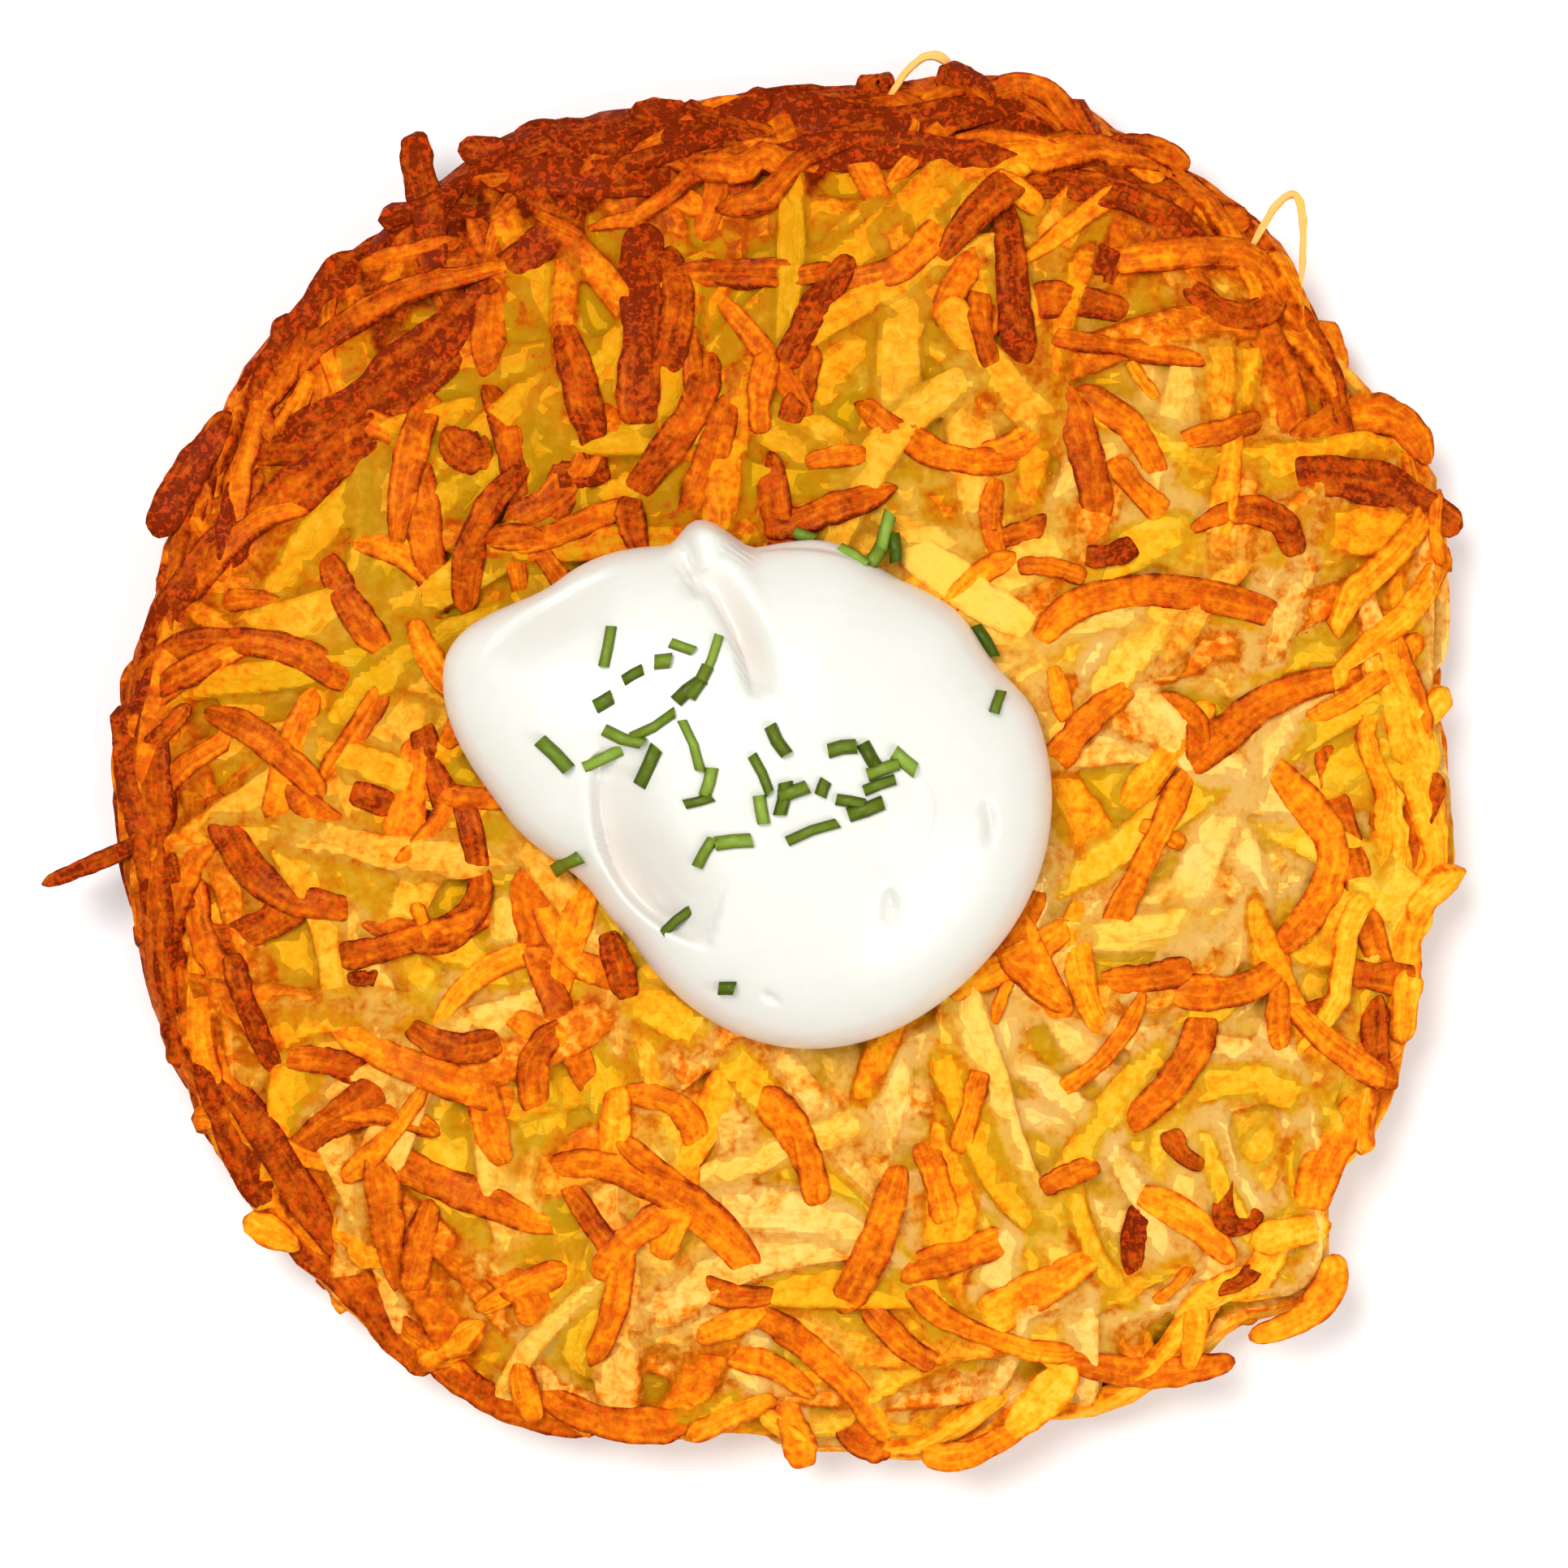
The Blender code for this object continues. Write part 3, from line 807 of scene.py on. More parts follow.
def hand_laid_shreds(settings, dice, ground):
    """The browned shreds that are laid one by one on the upper face."""
    laid = TOP_EDGE_SHREDS + UPPER_LEFT_SHREDS + UPPER_RIGHT_SHREDS + RIGHT_SHREDS
    for start, middle, end, width, brown in laid + BOTTOM_SHREDS + LEFT_SHREDS:
        line = through(start, middle, end, STATIONS) * MM
        unsteady = min(0.42, width / 8) * min(1.0, length_of(line) / (16 * MM)) ** 1.5 * MM
        line[:, 0] += wander(dice, STATIONS, unsteady)
        line[:, 1] += wander(dice, STATIONS, unsteady)
        ends = ends_down(4, dice.uniform(0.3, 0.8))
        height = draped(line, ground) + dice.uniform(-0.25, 0.15) * MM - ends
        thickness = min(settings.laid_thickness, width * MM)
        sizes = shred_sizes(dice, width * LAID_WIDTH_SHARE * MM, thickness, (0.25, 0.8))
        heat = 0.16 * bed_heat(line[:, 0], line[:, 1])
        # Below 0 a shred is starchy and has not browned at all
        brown = np.clip(brown / 10 + heat + wander(dice, STATIONS, 0.10), -1, 1)
        yield lying_shred(dice, line, height, 0.10, sizes, brown)


def scattered_shreds(settings, dice, ground):
    """Short browned shreds and crisp bits in between, more of them where the bed is hot."""
    laid = 0
    while laid < settings.scatter_count:
        direction = dice.uniform(0, 2 * math.pi)
        x, y = from_middle(direction, math.sqrt(dice.uniform(0.12, 0.96)) * CAKE_RADIUS)
        if dice.uniform(0, 1) > 0.4 + bed_heat(x, y):
            continue
        laid += 1
        length = dice.uniform(*SHORT_LENGTHS) * MM
        heading = dice.uniform(0, 2 * math.pi)
        line = random_line(dice, x, y, heading, length, dice.gauss(0, 0.5))
        line = keep_inside(line, 0.5 * MM)
        height = draped(line, ground) - ends_down(4, 0.4) + dice.uniform(-0.2, 0.15) * MM
        width = dice.uniform(0.3, 0.5) * min(settings.shred_width, length / 2.5) * 2
        sizes = shred_sizes(dice, width, settings.laid_thickness * 0.8, (0.1, 0.6))
        brown = dice.uniform(0.26, 0.52) + 0.25 * bed_heat(line[:, 0], line[:, 1])
        yield lying_shred(dice, line, height, 0.15, sizes, np.clip(brown, 0, 1))


def edge_tips(settings, dice):
    """Short ends of shreds that poke out past the edge all the way round."""
    for index in range(settings.tip_count):
        direction = 2 * math.pi * (index + dice.uniform(-0.4, 0.4)) / settings.tip_count
        length = dice.uniform(*TIP_LENGTHS) * MM
        heading = direction + dice.choice((-1, 1)) * math.radians(dice.uniform(25, 75))
        tip_x, tip_y = from_middle(direction, cake_radius(direction) + dice.uniform(-0.3, 1.1) * MM)
        x = tip_x - length / 2 * math.cos(heading)
        y = tip_y - length / 2 * math.sin(heading)
        line = random_line(dice, x, y, heading, length, dice.gauss(0, 0.4))
        level = dice.uniform(0.25, 0.92) * CAKE_TOP
        height = np.minimum(cake_surface(line[:, 0], line[:, 1], STIFF_SHARE), level)
        width = dice.uniform(*LOOSE_WIDTHS) * settings.shred_width
        sizes = shred_sizes(dice, width, settings.shred_thickness, (0.1, 0.5))
        brown = 0.16 + edge_browning(line[:, 0], line[:, 1]) + dice.gauss(0, 0.1)
        yield lying_shred(dice, line, height, 0.4, sizes, np.clip(brown, LEAST_RIM_BROWN, 1))


def pressed_core():
    """The closed mass under the shreds: a round slab with the cake's outline and rounded edge."""
    deselect_all()
    bpy.ops.mesh.primitive_uv_sphere_add(segments=128, ring_count=48, radius=1)
    core = bpy.context.object
    unit = coordinates(core)
    level = np.hypot(unit[:, 0], unit[:, 1])
    angle = np.arctan2(unit[:, 1], unit[:, 0])
    share = 1 - np.arccos(np.clip(level, 0, 1)) / (math.pi / 2)
    reach = share * (cake_radius(angle) - CORE_NARROWER)
    x = CAKE_CENTRE[0] + reach * np.cos(angle)
    y = CAKE_CENTRE[1] + reach * np.sin(angle)
    half = (CAKE_TOP - CORE_LOWER) / 2
    z = half + np.sign(unit[:, 2]) * half * edge_fullness(share)
    place(core, np.column_stack([x, y, np.maximum(z, UNDERSIDE_RELIEF)]))
    for name in ("tone", "brown", "outline", "across", "along"):
        write_attribute(core, name, np.full(len(unit), CORE_BROWN if name == "brown" else 0.3))
    return core


def join(target, others):
    deselect_all()
    for obj in (target, *others):
        obj.select_set(True)
    bpy.context.view_layer.objects.active = target
    bpy.ops.object.join()


def fuse(obj, voxel):
    """Melts the crossing strips into one skin that keeps their attributes."""
    take(obj)
    obj.data.remesh_voxel_size = voxel
    obj.data.use_remesh_preserve_attributes = True
    bpy.ops.object.voxel_remesh()


def roughen(obj, size, height):
    """Small uneven relief over the whole mesh."""
    clouds = bpy.data.textures.new("crumbly", "CLOUDS")
    clouds.noise_scale = size
    clouds.noise_depth = 3
    relief = {"texture": clouds, "texture_coords": "LOCAL", "strength": height, "mid_level": 0.5}
    apply_modifier(obj, "DISPLACE", relief)


def thin_out(obj, most_triangles):
    """Collapses the smallest detail until the mesh has no more triangles than this."""
    triangles = sum(len(face.vertices) - 2 for face in obj.data.polygons)
    if triangles > most_triangles:
        apply_modifier(obj, "DECIMATE", {"ratio": most_triangles / triangles})


def drop_stray_bits(obj):
    """Deletes the crumbs that have come loose from the body that holds the highest point."""
    take(obj)
    highest = int(coordinates(obj)[:, 2].argmax())
    bpy.ops.object.mode_set(mode="EDIT")
    bpy.ops.mesh.select_mode(type="VERT")
    bpy.ops.mesh.select_all(action="DESELECT")
    bpy.ops.object.mode_set(mode="OBJECT")
    obj.data.vertices[highest].select = True
    bpy.ops.object.mode_set(mode="EDIT")
    bpy.ops.mesh.select_linked()
    bpy.ops.mesh.select_all(action="INVERT")
    bpy.ops.mesh.delete(type="VERT")
    bpy.ops.object.mode_set(mode="OBJECT")


def depth_below_surface(places):
    """How far each point lies inside the cake's smooth outer shape, from whichever side is nearest."""
    distance, radius, _angle = cake_polar(places[:, 0], places[:, 1])
    from_top = cake_surface(places[:, 0], places[:, 1]) - places[:, 2]
    from_below = places[:, 2] - cake_underside(places[:, 0], places[:, 1])
    nearest = np.minimum(np.minimum(from_top, from_below), radius - distance)
    return np.clip(nearest, 0, None)


class Wire:
    """A number that changes over a surface: a node's output on which Python's sums can be done."""

    def __init__(self, finish, socket):
        self.finish = finish
        self.socket = socket

    def sum(self, operation, first, second):
        settings = {"operation": operation}
        return self.finish.node("ShaderNodeMath", settings, {0: first, 1: second})

    def __add__(self, other):
        return self.sum("ADD", self, other)

    def __sub__(self, other):
        return self.sum("SUBTRACT", self, other)

    def __rsub__(self, other):
        return self.sum("SUBTRACT", other, self)

    def __mul__(self, other):
        return self.sum("MULTIPLY", self, other)

    __radd__ = __add__
    __rmul__ = __mul__


class Finish:
    """A material being put together from nodes."""

    def __init__(self, name, constants):
        self.material = bpy.data.materials.new(name)
        self.material.use_nodes = True
        self.tree = self.material.node_tree
        self.shader = self.tree.nodes["Principled BSDF"]
        for socket, value in constants.items():
            self.shader.inputs[socket].default_value = value
        self.place = self.node("ShaderNodeTexCoord", {}, {}, "Object")

    def node(self, kind, settings, inputs, output=0):
        """Adds a node: its type, its settings, its sockets' values or links, and the output wanted."""
        made = self.tree.nodes.new(kind)
        for key, value in settings.items():
            if key == "stops":
                self.set_stops(made.color_ramp, value)
            else:
                setattr(made, key, value)
        for key, value in inputs.items():
            if isinstance(value, Wire):
                self.tree.links.new(value.socket, made.inputs[key])
            else:
                made.inputs[key].default_value = value
        return Wire(self, made.outputs[output])

    def set_stops(self, ramp, stops):
        while len(ramp.elements) < len(stops):
            ramp.elements.new(1.0)
        for element, (position, values) in zip(ramp.elements, stops):
            element.position = position
            element.color = colour(values)

    def noise(self, size, detail=3.0, distortion=0.0):
        """Cloudy noise from 0 to 1, with patches about this size in metres."""
        values = {"Vector": self.place, "Scale": 1 / size, "Detail": detail, "Distortion": distortion}
        return self.node("ShaderNodeTexNoise", {}, values, "Fac")

    def attribute(self, name):
        return self.node("ShaderNodeAttribute", {"attribute_name": name}, {}, "Fac")

    def mix(self, share, first, second):
        settings = {"data_type": "RGBA"}
        return self.node("ShaderNodeMix", settings, {0: share, 6: first, 7: second}, 2)

    def ramp(self, value, stops):
        """A colour for each value, eased between the stops."""
        return self.node("ShaderNodeValToRGB", {"stops": stops}, {"Fac": value}, "Color")

    def between(self, value, low, high):
        """0 at low, 1 at high, and a straight change between."""
        values = {"Value": value, "From Min": low, "From Max": high}
        return self.node("ShaderNodeMapRange", {"clamp": True}, values, "Result")

    def bump(self, height, distance, strength):
        values = {"Height": height, "Distance": distance, "Strength": strength}
        return self.node("ShaderNodeBump", {}, values, "Normal")

    def feed(self, socket, wire):
        self.tree.links.new(wire.socket, self.shader.inputs[socket])


def colour(values):
    return (values[0], values[1], values[2], 1.0)


def melted_skin(finish, settings, skin, cooked, tone, mottle):
    """The bed: pale where it is fresh, a deeper gold where it is hot, glassy here and there, with painted
    shade in olive and amber deep between the shreds.
    """
    light = finish.between(cooked, 0.5, 0.1)
    # The renderer keeps the name heat for smoke and fire, so the bed's heat is stored as fried
    heat = finish.attribute("fried")
    blotch = finish.between(finish.noise(3.2 * MM, 3.0, 0.4), 0.36, 0.60)
    fresh = 1 - heat
    peach = light * finish.between(tone, 0.28, 0.64) * fresh * fresh * (blotch * 0.4 + 0.6)
    glassy = light * finish.between(tone, 0.30, 0.12) * (blotch * 0.3 + 0.3)
    # Painted shade: the deeper a point lies between the shreds, the more it takes the darker olive hollow
    # colour, and amber deepest of all; the pale colour fades there too.
    depth = finish.attribute("depth") + (mottle - 0.5) * 0.3
    hollow = finish.between(depth, 0.8, 1.4)
    crevice = finish.between(depth, 1.5, 2.4)
    oil = finish.between(cooked, 0.6, 0.3) * heat * (1.1 - tone * 0.4) * (mottle * 0.35 + 0.75)
    skin = finish.mix(peach * (1 - hollow * 0.7), skin, colour(settings.pale))
    skin = finish.mix(oil, skin, colour(settings.oily))
    skin = finish.mix(glassy, skin, colour(settings.hollow))
    skin = finish.mix(hollow * 0.65, skin, colour(settings.hollow))
    return finish.mix(crevice * 0.4, skin, colour(settings.amber))


def starchy_skin(finish, settings, skin, mottle):
    """The loose shreds: those that are marked as less than fried turn to pale starch."""
    raw = finish.between(finish.attribute("brown"), 0.0, -0.3)
    return finish.mix(raw * (mottle * 0.3 + 0.7), skin, colour(settings.starchy))


def potato_finish(name, settings, fused):
    """Fried potato: pale gold to char by how brown it is, with fibres along each shred."""
    pattern = MELTED_PATTERN if fused else CRISP_PATTERN
    finish = Finish(name, {"Specular IOR Level": 0.012, "Coat Roughness": 0.2})
    tone = finish.attribute("tone")
    # Fibres run along each shred: noise stretched on its own length and width
    lengthwise = finish.attribute("along") * FIBRE_STRETCH
    crosswise = finish.attribute("across") * FIBRE_SPREAD
    lie = finish.node("ShaderNodeCombineXYZ", {}, {"X": lengthwise, "Y": crosswise, "Z": tone})
    fibres = {"Vector": lie, "Scale": 1 / FIBRE_WIDTH, "Detail": 3.0}
    fibre = finish.between(finish.node("ShaderNodeTexNoise", {}, fibres, "Fac"), 0.35, 0.65)
    patches = finish.between(finish.noise(6.0 * MM, 3.0), 0.35, 0.65)
    mottle = finish.between(finish.noise(1.2 * MM, 4.0, 0.5), 0.36, 0.64)
    grain = finish.between(finish.noise(0.5 * MM, 2.0), 0.35, 0.65)
    rim = finish.between(finish.attribute("outline"), *pattern["rim_span"])
    speckle = (mottle - 0.5) * pattern["mottle"] + (grain - 0.5) * pattern["grain"]
    cooked = finish.attribute("brown") + (patches - 0.5) * 0.14 + speckle
    cooked = cooked + (fibre - 0.5) * pattern["fibre"]
    cooked = cooked + rim * (mottle + 0.5) * pattern["rim"]
    stops = (
        (0.0, settings.light),
        (0.14, settings.gold),
        (0.34, settings.amber),
        (0.54, settings.orange),
        (0.78, settings.brown),
        (1.0, settings.char),
    )
    skin = finish.ramp(cooked, stops)
    if fused:
        skin = melted_skin(finish, settings, skin, cooked, tone, mottle)
    else:
        skin = starchy_skin(finish, settings, skin, mottle)
    specks = finish.between(finish.noise(0.6 * MM, 2.0, 0.6), 0.52, 0.62) * finish.between(cooked, 0.35, 0.6)
    finish.feed("Base Color", finish.mix(specks * 0.55, skin, colour(settings.red)))
    finish.feed("Roughness", mottle * 0.2 + 0.36)
    finish.feed("Coat Weight", patches * 0.015)
    finish.feed("Normal", finish.bump(mottle * 0.4 + grain * 0.3 + fibre * 0.8, 0.25 * MM, 0.6))
    return finish.material


def cream_finish(settings):
    """Sour cream: soft, wet and slightly warm, with a faint unevenness and painted warm shade in the spoon
    marks.
    """
    constants = {
        "Subsurface Weight": 0.15,
        "Subsurface Radius": (1.0, 0.7, 0.5),
        "Subsurface Scale": 0.7 * MM,
        "Coat Weight": 0.25,
        "Coat Roughness": 0.12,
    }
    finish = Finish("sour_cream", constants)
    streaks = finish.noise(3.0 * MM, 2.0, 0.8)
    # Painted shade: the deeper a spoon mark lowers the cream, the more it takes the warm shade colour; the
    # streaks add a faint random unevenness.
    hollow = finish.between(finish.attribute("hollow"), 0.1, 1.6)
    thin = finish.between(streaks, 0.35, 0.75) * 0.2 + hollow * 0.8
    finish.feed("Base Color", finish.mix(thin, colour(settings.colour), colour(settings.shade)))
    finish.feed("Roughness", streaks * 0.12 + 0.30)
    finish.feed("Normal", finish.bump(streaks, 0.10 * MM, 0.5))
    return finish.material


def chive_finish(settings):
    """Chive: fresh green, with painted shade along its two sides and a paler inside."""
    constants = {"Subsurface Weight": 0.1, "Subsurface Scale": 0.6 * MM, "Specular IOR Level": 0.15}
    finish = Finish("chive", constants)
    mottle = finish.noise(0.8 * MM, 3.0)
    # Painted shade: the green darkens towards the tube's two sides, where its rounding turns away from the
    # light.
    edge = finish.between(finish.attribute("side"), 0.35, 1.0)
    tone = finish.attribute("tone") + (mottle - 0.5) * 0.45 - edge * 0.45
    green = finish.ramp(tone, ((0.0, settings.dark), (0.5, settings.green), (1.0, settings.bright)))
    inside = finish.attribute("inside")
    finish.feed("Base Color", finish.mix(inside * 0.7, green, colour(settings.pith)))
    finish.feed("Roughness", mottle * 0.2 + 0.28)
    finish.feed("Normal", finish.bump(mottle, 0.08 * MM, 0.4))
    return finish.material


def floor_finish(settings):
    finish = Finish("pale_floor", {"Specular IOR Level": 0.2})
    grain = finish.noise(40 * MM, 2.0)
    darker = [value * 0.985 for value in settings.floor_colour]
    finish.feed("Base Color", finish.mix(grain, colour(settings.floor_colour), colour(darker)))
    finish.feed("Roughness", grain * 0.1 + 0.75)
    return finish.material


def finish_piece(obj, material, replaced, crease=math.pi):
    """Gives a made piece its material, its place in the frame and what it stands for."""
    obj.data.materials.clear()
    obj.data.materials.append(material)
    take(obj)
    bpy.ops.object.shade_smooth_by_angle(angle=crease)
    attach(obj, "root")
    for node in replaced:
        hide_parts(node)


def size_property(name, text, default):
    return bpy.props.FloatProperty(name=name, description=text, default=default, unit="LENGTH", precision=5)


def number_property(name, text, default):
    return bpy.props.FloatProperty(name=name, description=text, default=default)


def count_property(name, text, default):
    return bpy.props.IntProperty(name=name, description=text, default=default)


def colour_property(name, text, default):
    return bpy.props.FloatVectorProperty(
        name=name, description=text, default=default, subtype="COLOR", size=3, min=0, max=1
    )


class RostiCakeSettings(bpy.types.PropertyGroup):
    """Sizes and colours of the fried potato"""

    shred_width: size_property("Shred width", "Width of a grated shred", 3.0 * MM)
    shred_thickness: size_property("Shred thickness", "Thickness of a fried shred", 1.4 * MM)
    laid_thickness: size_property("Laid thickness", "Thickness of a browned shred on top", 1.15 * MM)
    bed_depth: size_property("Bed depth", "How deep the bed's lowest shreds lie", 1.9 * MM)
    voxel: size_property("Fuse size", "Finest detail kept where shreds melt together", 0.46 * MM)
    bed_count: count_property("Bed shreds", "Golden shreds in the bed", 400)
    rim_count: count_property("Rim shreds", "Shreds round the side", 150)
    low_rim_count: count_property("Low shreds", "Shreds under the side", 90)
    underside_count: count_property("Under", "Shreds on the underside", 230)
    crisp_count: count_property("Crisp shreds", "Browned shreds at the edge", 205)
    scatter_count: count_property("Short shreds", "Short browned shreds", 84)
    tip_count: count_property("Tips", "Shred ends past the edge", 44)
    seed: count_property("Seed", "Changes how the loose shreds lie", 5)
    pale: colour_property("Pale", "Barely fried potato", (0.98, 0.55, 0.140))
    starchy: colour_property("Starchy", "Pale chip and thin starch loops", (0.95, 0.53, 0.16))
    light: colour_property("Light", "Soft yellow potato", (0.95, 0.51, 0.042))
    gold: colour_property("Gold", "Lightly fried potato", (0.92, 0.42, 0.014))
    oily: colour_property("Oily", "Deeper gold where the bed fried longer", (0.57, 0.255, 0.003))
    amber: colour_property("Amber", "Well fried potato", (0.87, 0.27, 0.005))
    orange: colour_property("Orange", "Crisp potato", (0.72, 0.155, 0.003))
    brown: colour_property("Brown", "Browned crust", (0.42, 0.065, 0.002))
    char: colour_property("Char", "Darkest crust", (0.175, 0.015, 0.001))
    red: colour_property("Red", "Specks in the browned crust", (0.66, 0.060, 0.003))
    # Hollow is the colour of the glassy strips and also the painted shade deep between the shreds; amber also
    # paints the deepest gaps.
    hollow: colour_property("Hollow", "Oily potato deep between shreds", (0.56, 0.31, 0.002))


class RostiCreamSettings(bpy.types.PropertyGroup):
    """Spoon marks and colours of the sour cream"""

    mark_depth: number_property("Marks", "How deep the spoon marks are", 2.0)
    colour: colour_property("Cream", "Sour cream", (0.715, 0.715, 0.645))
    # The shade colour is painted shade, laid into the spoon marks.
    shade: colour_property("Shade", "Thinner, warmer cream in the hollows", (0.66, 0.58, 0.52))


class RostiChiveSettings(bpy.types.PropertyGroup):
    """Size and colours of the cut chives"""

    diameter: size_property("Diameter", "Across a chive", 1.05 * MM)
    wall: size_property("Wall", "Thickness of a chive's wall", 0.28 * MM)
    dark: colour_property("Dark", "Darkest green", (0.050, 0.078, 0.001))
    green: colour_property("Green", "Middle green", (0.130, 0.190, 0.012))
    bright: colour_property("Bright", "Brightest green", (0.24, 0.36, 0.045))
    pith: colour_property("Pith", "Paler inside and cut end", (0.34, 0.48, 0.18))


class RostiStudioSettings(bpy.types.PropertyGroup):
    """Camera, lights and floor"""

    lens: number_property("Lens", "Focal length in mm", 100.0)
    view_width: size_property("View width", "Width of the frame at the cake's top", 133.7 * MM)
    elevation: bpy.props.FloatProperty(
        name="Elevation", description="Camera above the horizon", default=math.radians(88), subtype="ANGLE"
    )
    key_power: number_property("Key", "Main lamp in watts", 3.3)
    fill_power: number_property("Fill", "Second lamp in watts", 2.15)
    ambient: number_property("Ambient", "Light from all round", 0.45)
    floor_size: size_property("Floor", "Side of the floor", 1.6)
    floor_colour: colour_property("Floor colour", "Plain pale floor", (0.93, 0.93, 0.92))


class ROSTI_OT_bed(bpy.types.Operator):
    """Builds the bed of golden shreds cooked together into one cake"""

    bl_idname = "rosti.bed"
    bl_label = "Potato Bed"

    def execute(self, context):
        settings = context.scene.rosti_cake
        dice = random.Random(settings.seed)
        shreds = list(bed_shreds(settings, dice))
        shreds += rim_shreds(settings, dice, settings.rim_count, **MELTED_RIM)
        shreds += rim_shreds(settings, dice, settings.low_rim_count, **LOW_RIM)
        shreds += underside_shreds(settings, dice)
        bed = lay_shreds("potato_bed", shreds)
        join(bed, [pressed_core()])
        fuse(bed, settings.voxel)
        for name in ("tone", "brown", "outline"):
            blur_attribute(bed, name, BLUR_PASSES)
        apply_modifier(bed, "SMOOTH", {"factor": 0.5, "iterations": 5})
        roughen(bed, 1.6 * MM, 0.14 * MM)
        places = stand_on_floor(bed)
        # The depth under the smooth surface drives the painted shade between the shreds.
        write_attribute(bed, "depth", depth_below_surface(places) / MM)
        heat = edge_browning(places[:, 0], places[:, 1]) * BED_BROWNING
        write_attribute(bed, "brown", read_attribute(bed, "brown") + heat)
        write_attribute(bed, "fried", bed_heat(places[:, 0], places[:, 1]))
        thin_out(bed, BED_TRIANGLES)
        drop_stray_bits(bed)
        if not bed.data.vertices:
            raise RuntimeError("the potato bed came out empty")
        finish_piece(bed, potato_finish("potato_bed", settings, True), ["rosti"])
        return {"FINISHED"}


class ROSTI_OT_browned_shreds(bpy.types.Operator):
    """Lays the crisp browned shreds on the upper face"""

    bl_idname = "rosti.browned_shreds"
    bl_label = "Browned Shreds"

    def execute(self, context):
        settings = context.scene.rosti_cake
        dice = random.Random(settings.seed + 1)
        bed = bpy.data.objects.get("potato_bed")
        if bed is None:
            raise RuntimeError("the potato bed has to be built before the shreds that lie on it")
        laid = lay_shreds("browned_shreds", list(hand_laid_shreds(settings, dice, bed)))
        bits = lay_shreds("short_shreds", list(scattered_shreds(settings, dice, bed)), COARSE_RINGS, 1)
        join(laid, [bits])
        roughen(laid, 1.2 * MM, 0.30 * MM)
        finish_piece(laid, potato_finish("browned_potato", settings, False), [], STRIP_CREASE)
        return {"FINISHED"}


class ROSTI_OT_rim_shreds(bpy.types.Operator):
    """Lays the crisp shreds round the edge"""

    bl_idname = "rosti.rim_shreds"
    bl_label = "Rim Shreds"

    def execute(self, context):
        settings = context.scene.rosti_cake
        dice = random.Random(settings.seed + 2)
        shreds = list(rim_shreds(settings, dice, settings.crisp_count, **CRISP_RIM))
        shreds += edge_tips(settings, dice)
        laid = lay_shreds("rim_shreds", shreds, COARSE_RINGS, 1)
        roughen(laid, 1.3 * MM, 0.4 * MM)
        stand_on_floor(laid)
        finish_piece(laid, potato_finish("rim_potato", settings, False), [], STRIP_CREASE)
        return {"FINISHED"}


def mark_drop(x, y, mark, depth):
    """How far one spoon mark lowers the cream at these places, in mm."""
    start, middle, end, drop, steep, gentle = mark
    line = through(start, middle, end, 40)
    gap_x = x[:, None] - line[None, :, 0]
    gap_y = y[:, None] - line[None, :, 1]
    nearest = np.argmin(gap_x**2 + gap_y**2, axis=1)
    heading = np.gradient(line, axis=0)
    heading /= np.linalg.norm(heading, axis=1)[:, None]
    rows = np.arange(len(x))
    right = gap_x[rows, nearest] * heading[nearest, 1] - gap_y[rows, nearest] * heading[nearest, 0]
    ahead = gap_x[rows, nearest] * heading[nearest, 0] + gap_y[rows, nearest] * heading[nearest, 1]
    if drop < 0:
        right = -right
    along = nearest / (len(line) - 1)
    fade = np.sin(np.pi * np.clip(along, 0.0, 1.0)) ** 0.6 * raised_cosine(ahead, 2.0)
    return abs(drop) * depth * fade * smooth_step(0, steep, right) * (1 - smooth_step(steep, gentle, right))


def lowered_by_marks(x, y, depth):
    """How far all the spoon marks lower the cream at these places, in mm."""
    return sum(mark_drop(x / MM, y / MM, mark, depth) for mark in SPOON_MARKS)


def cream_radius(angle):
    """How far the cream's outline is from its middle in a direction."""
    return CREAM_RADIUS + MM * lobes_at(angle, CREAM_LOBES)


def cream_plumpness(share):
    """1 in the middle of the cream, falling to 0 at its outline."""
    return np.sqrt(np.clip(1 - share**CREAM_FULLNESS, 0, 1))


def cream_height(x, y, depth):
    """The cream's upper face over the plan, in metres."""
    across, up = x - CREAM_CENTRE[0], y - CREAM_CENTRE[1]
    share = np.clip(np.hypot(across, up) / cream_radius(np.arctan2(up, across)), 0, 1)
    plump = cream_plumpness(share)
    rest = cake_surface(x, y) + CREAM_EDGE_LIFT
    rise = (CREAM_BOX[1].z - CREAM_BELOW_PEAK - rest) * plump
    lowered = lowered_by_marks(x, y, depth)
    from_peak = np.hypot(x / MM - PEAK_PLACE[0], y / MM - PEAK_PLACE[1])
    peak = PEAK_RISE * raised_cosine(from_peak, PEAK_REACH)
    return rest + rise + MM * (peak - lowered) * smooth_step(0, 0.5, plump)


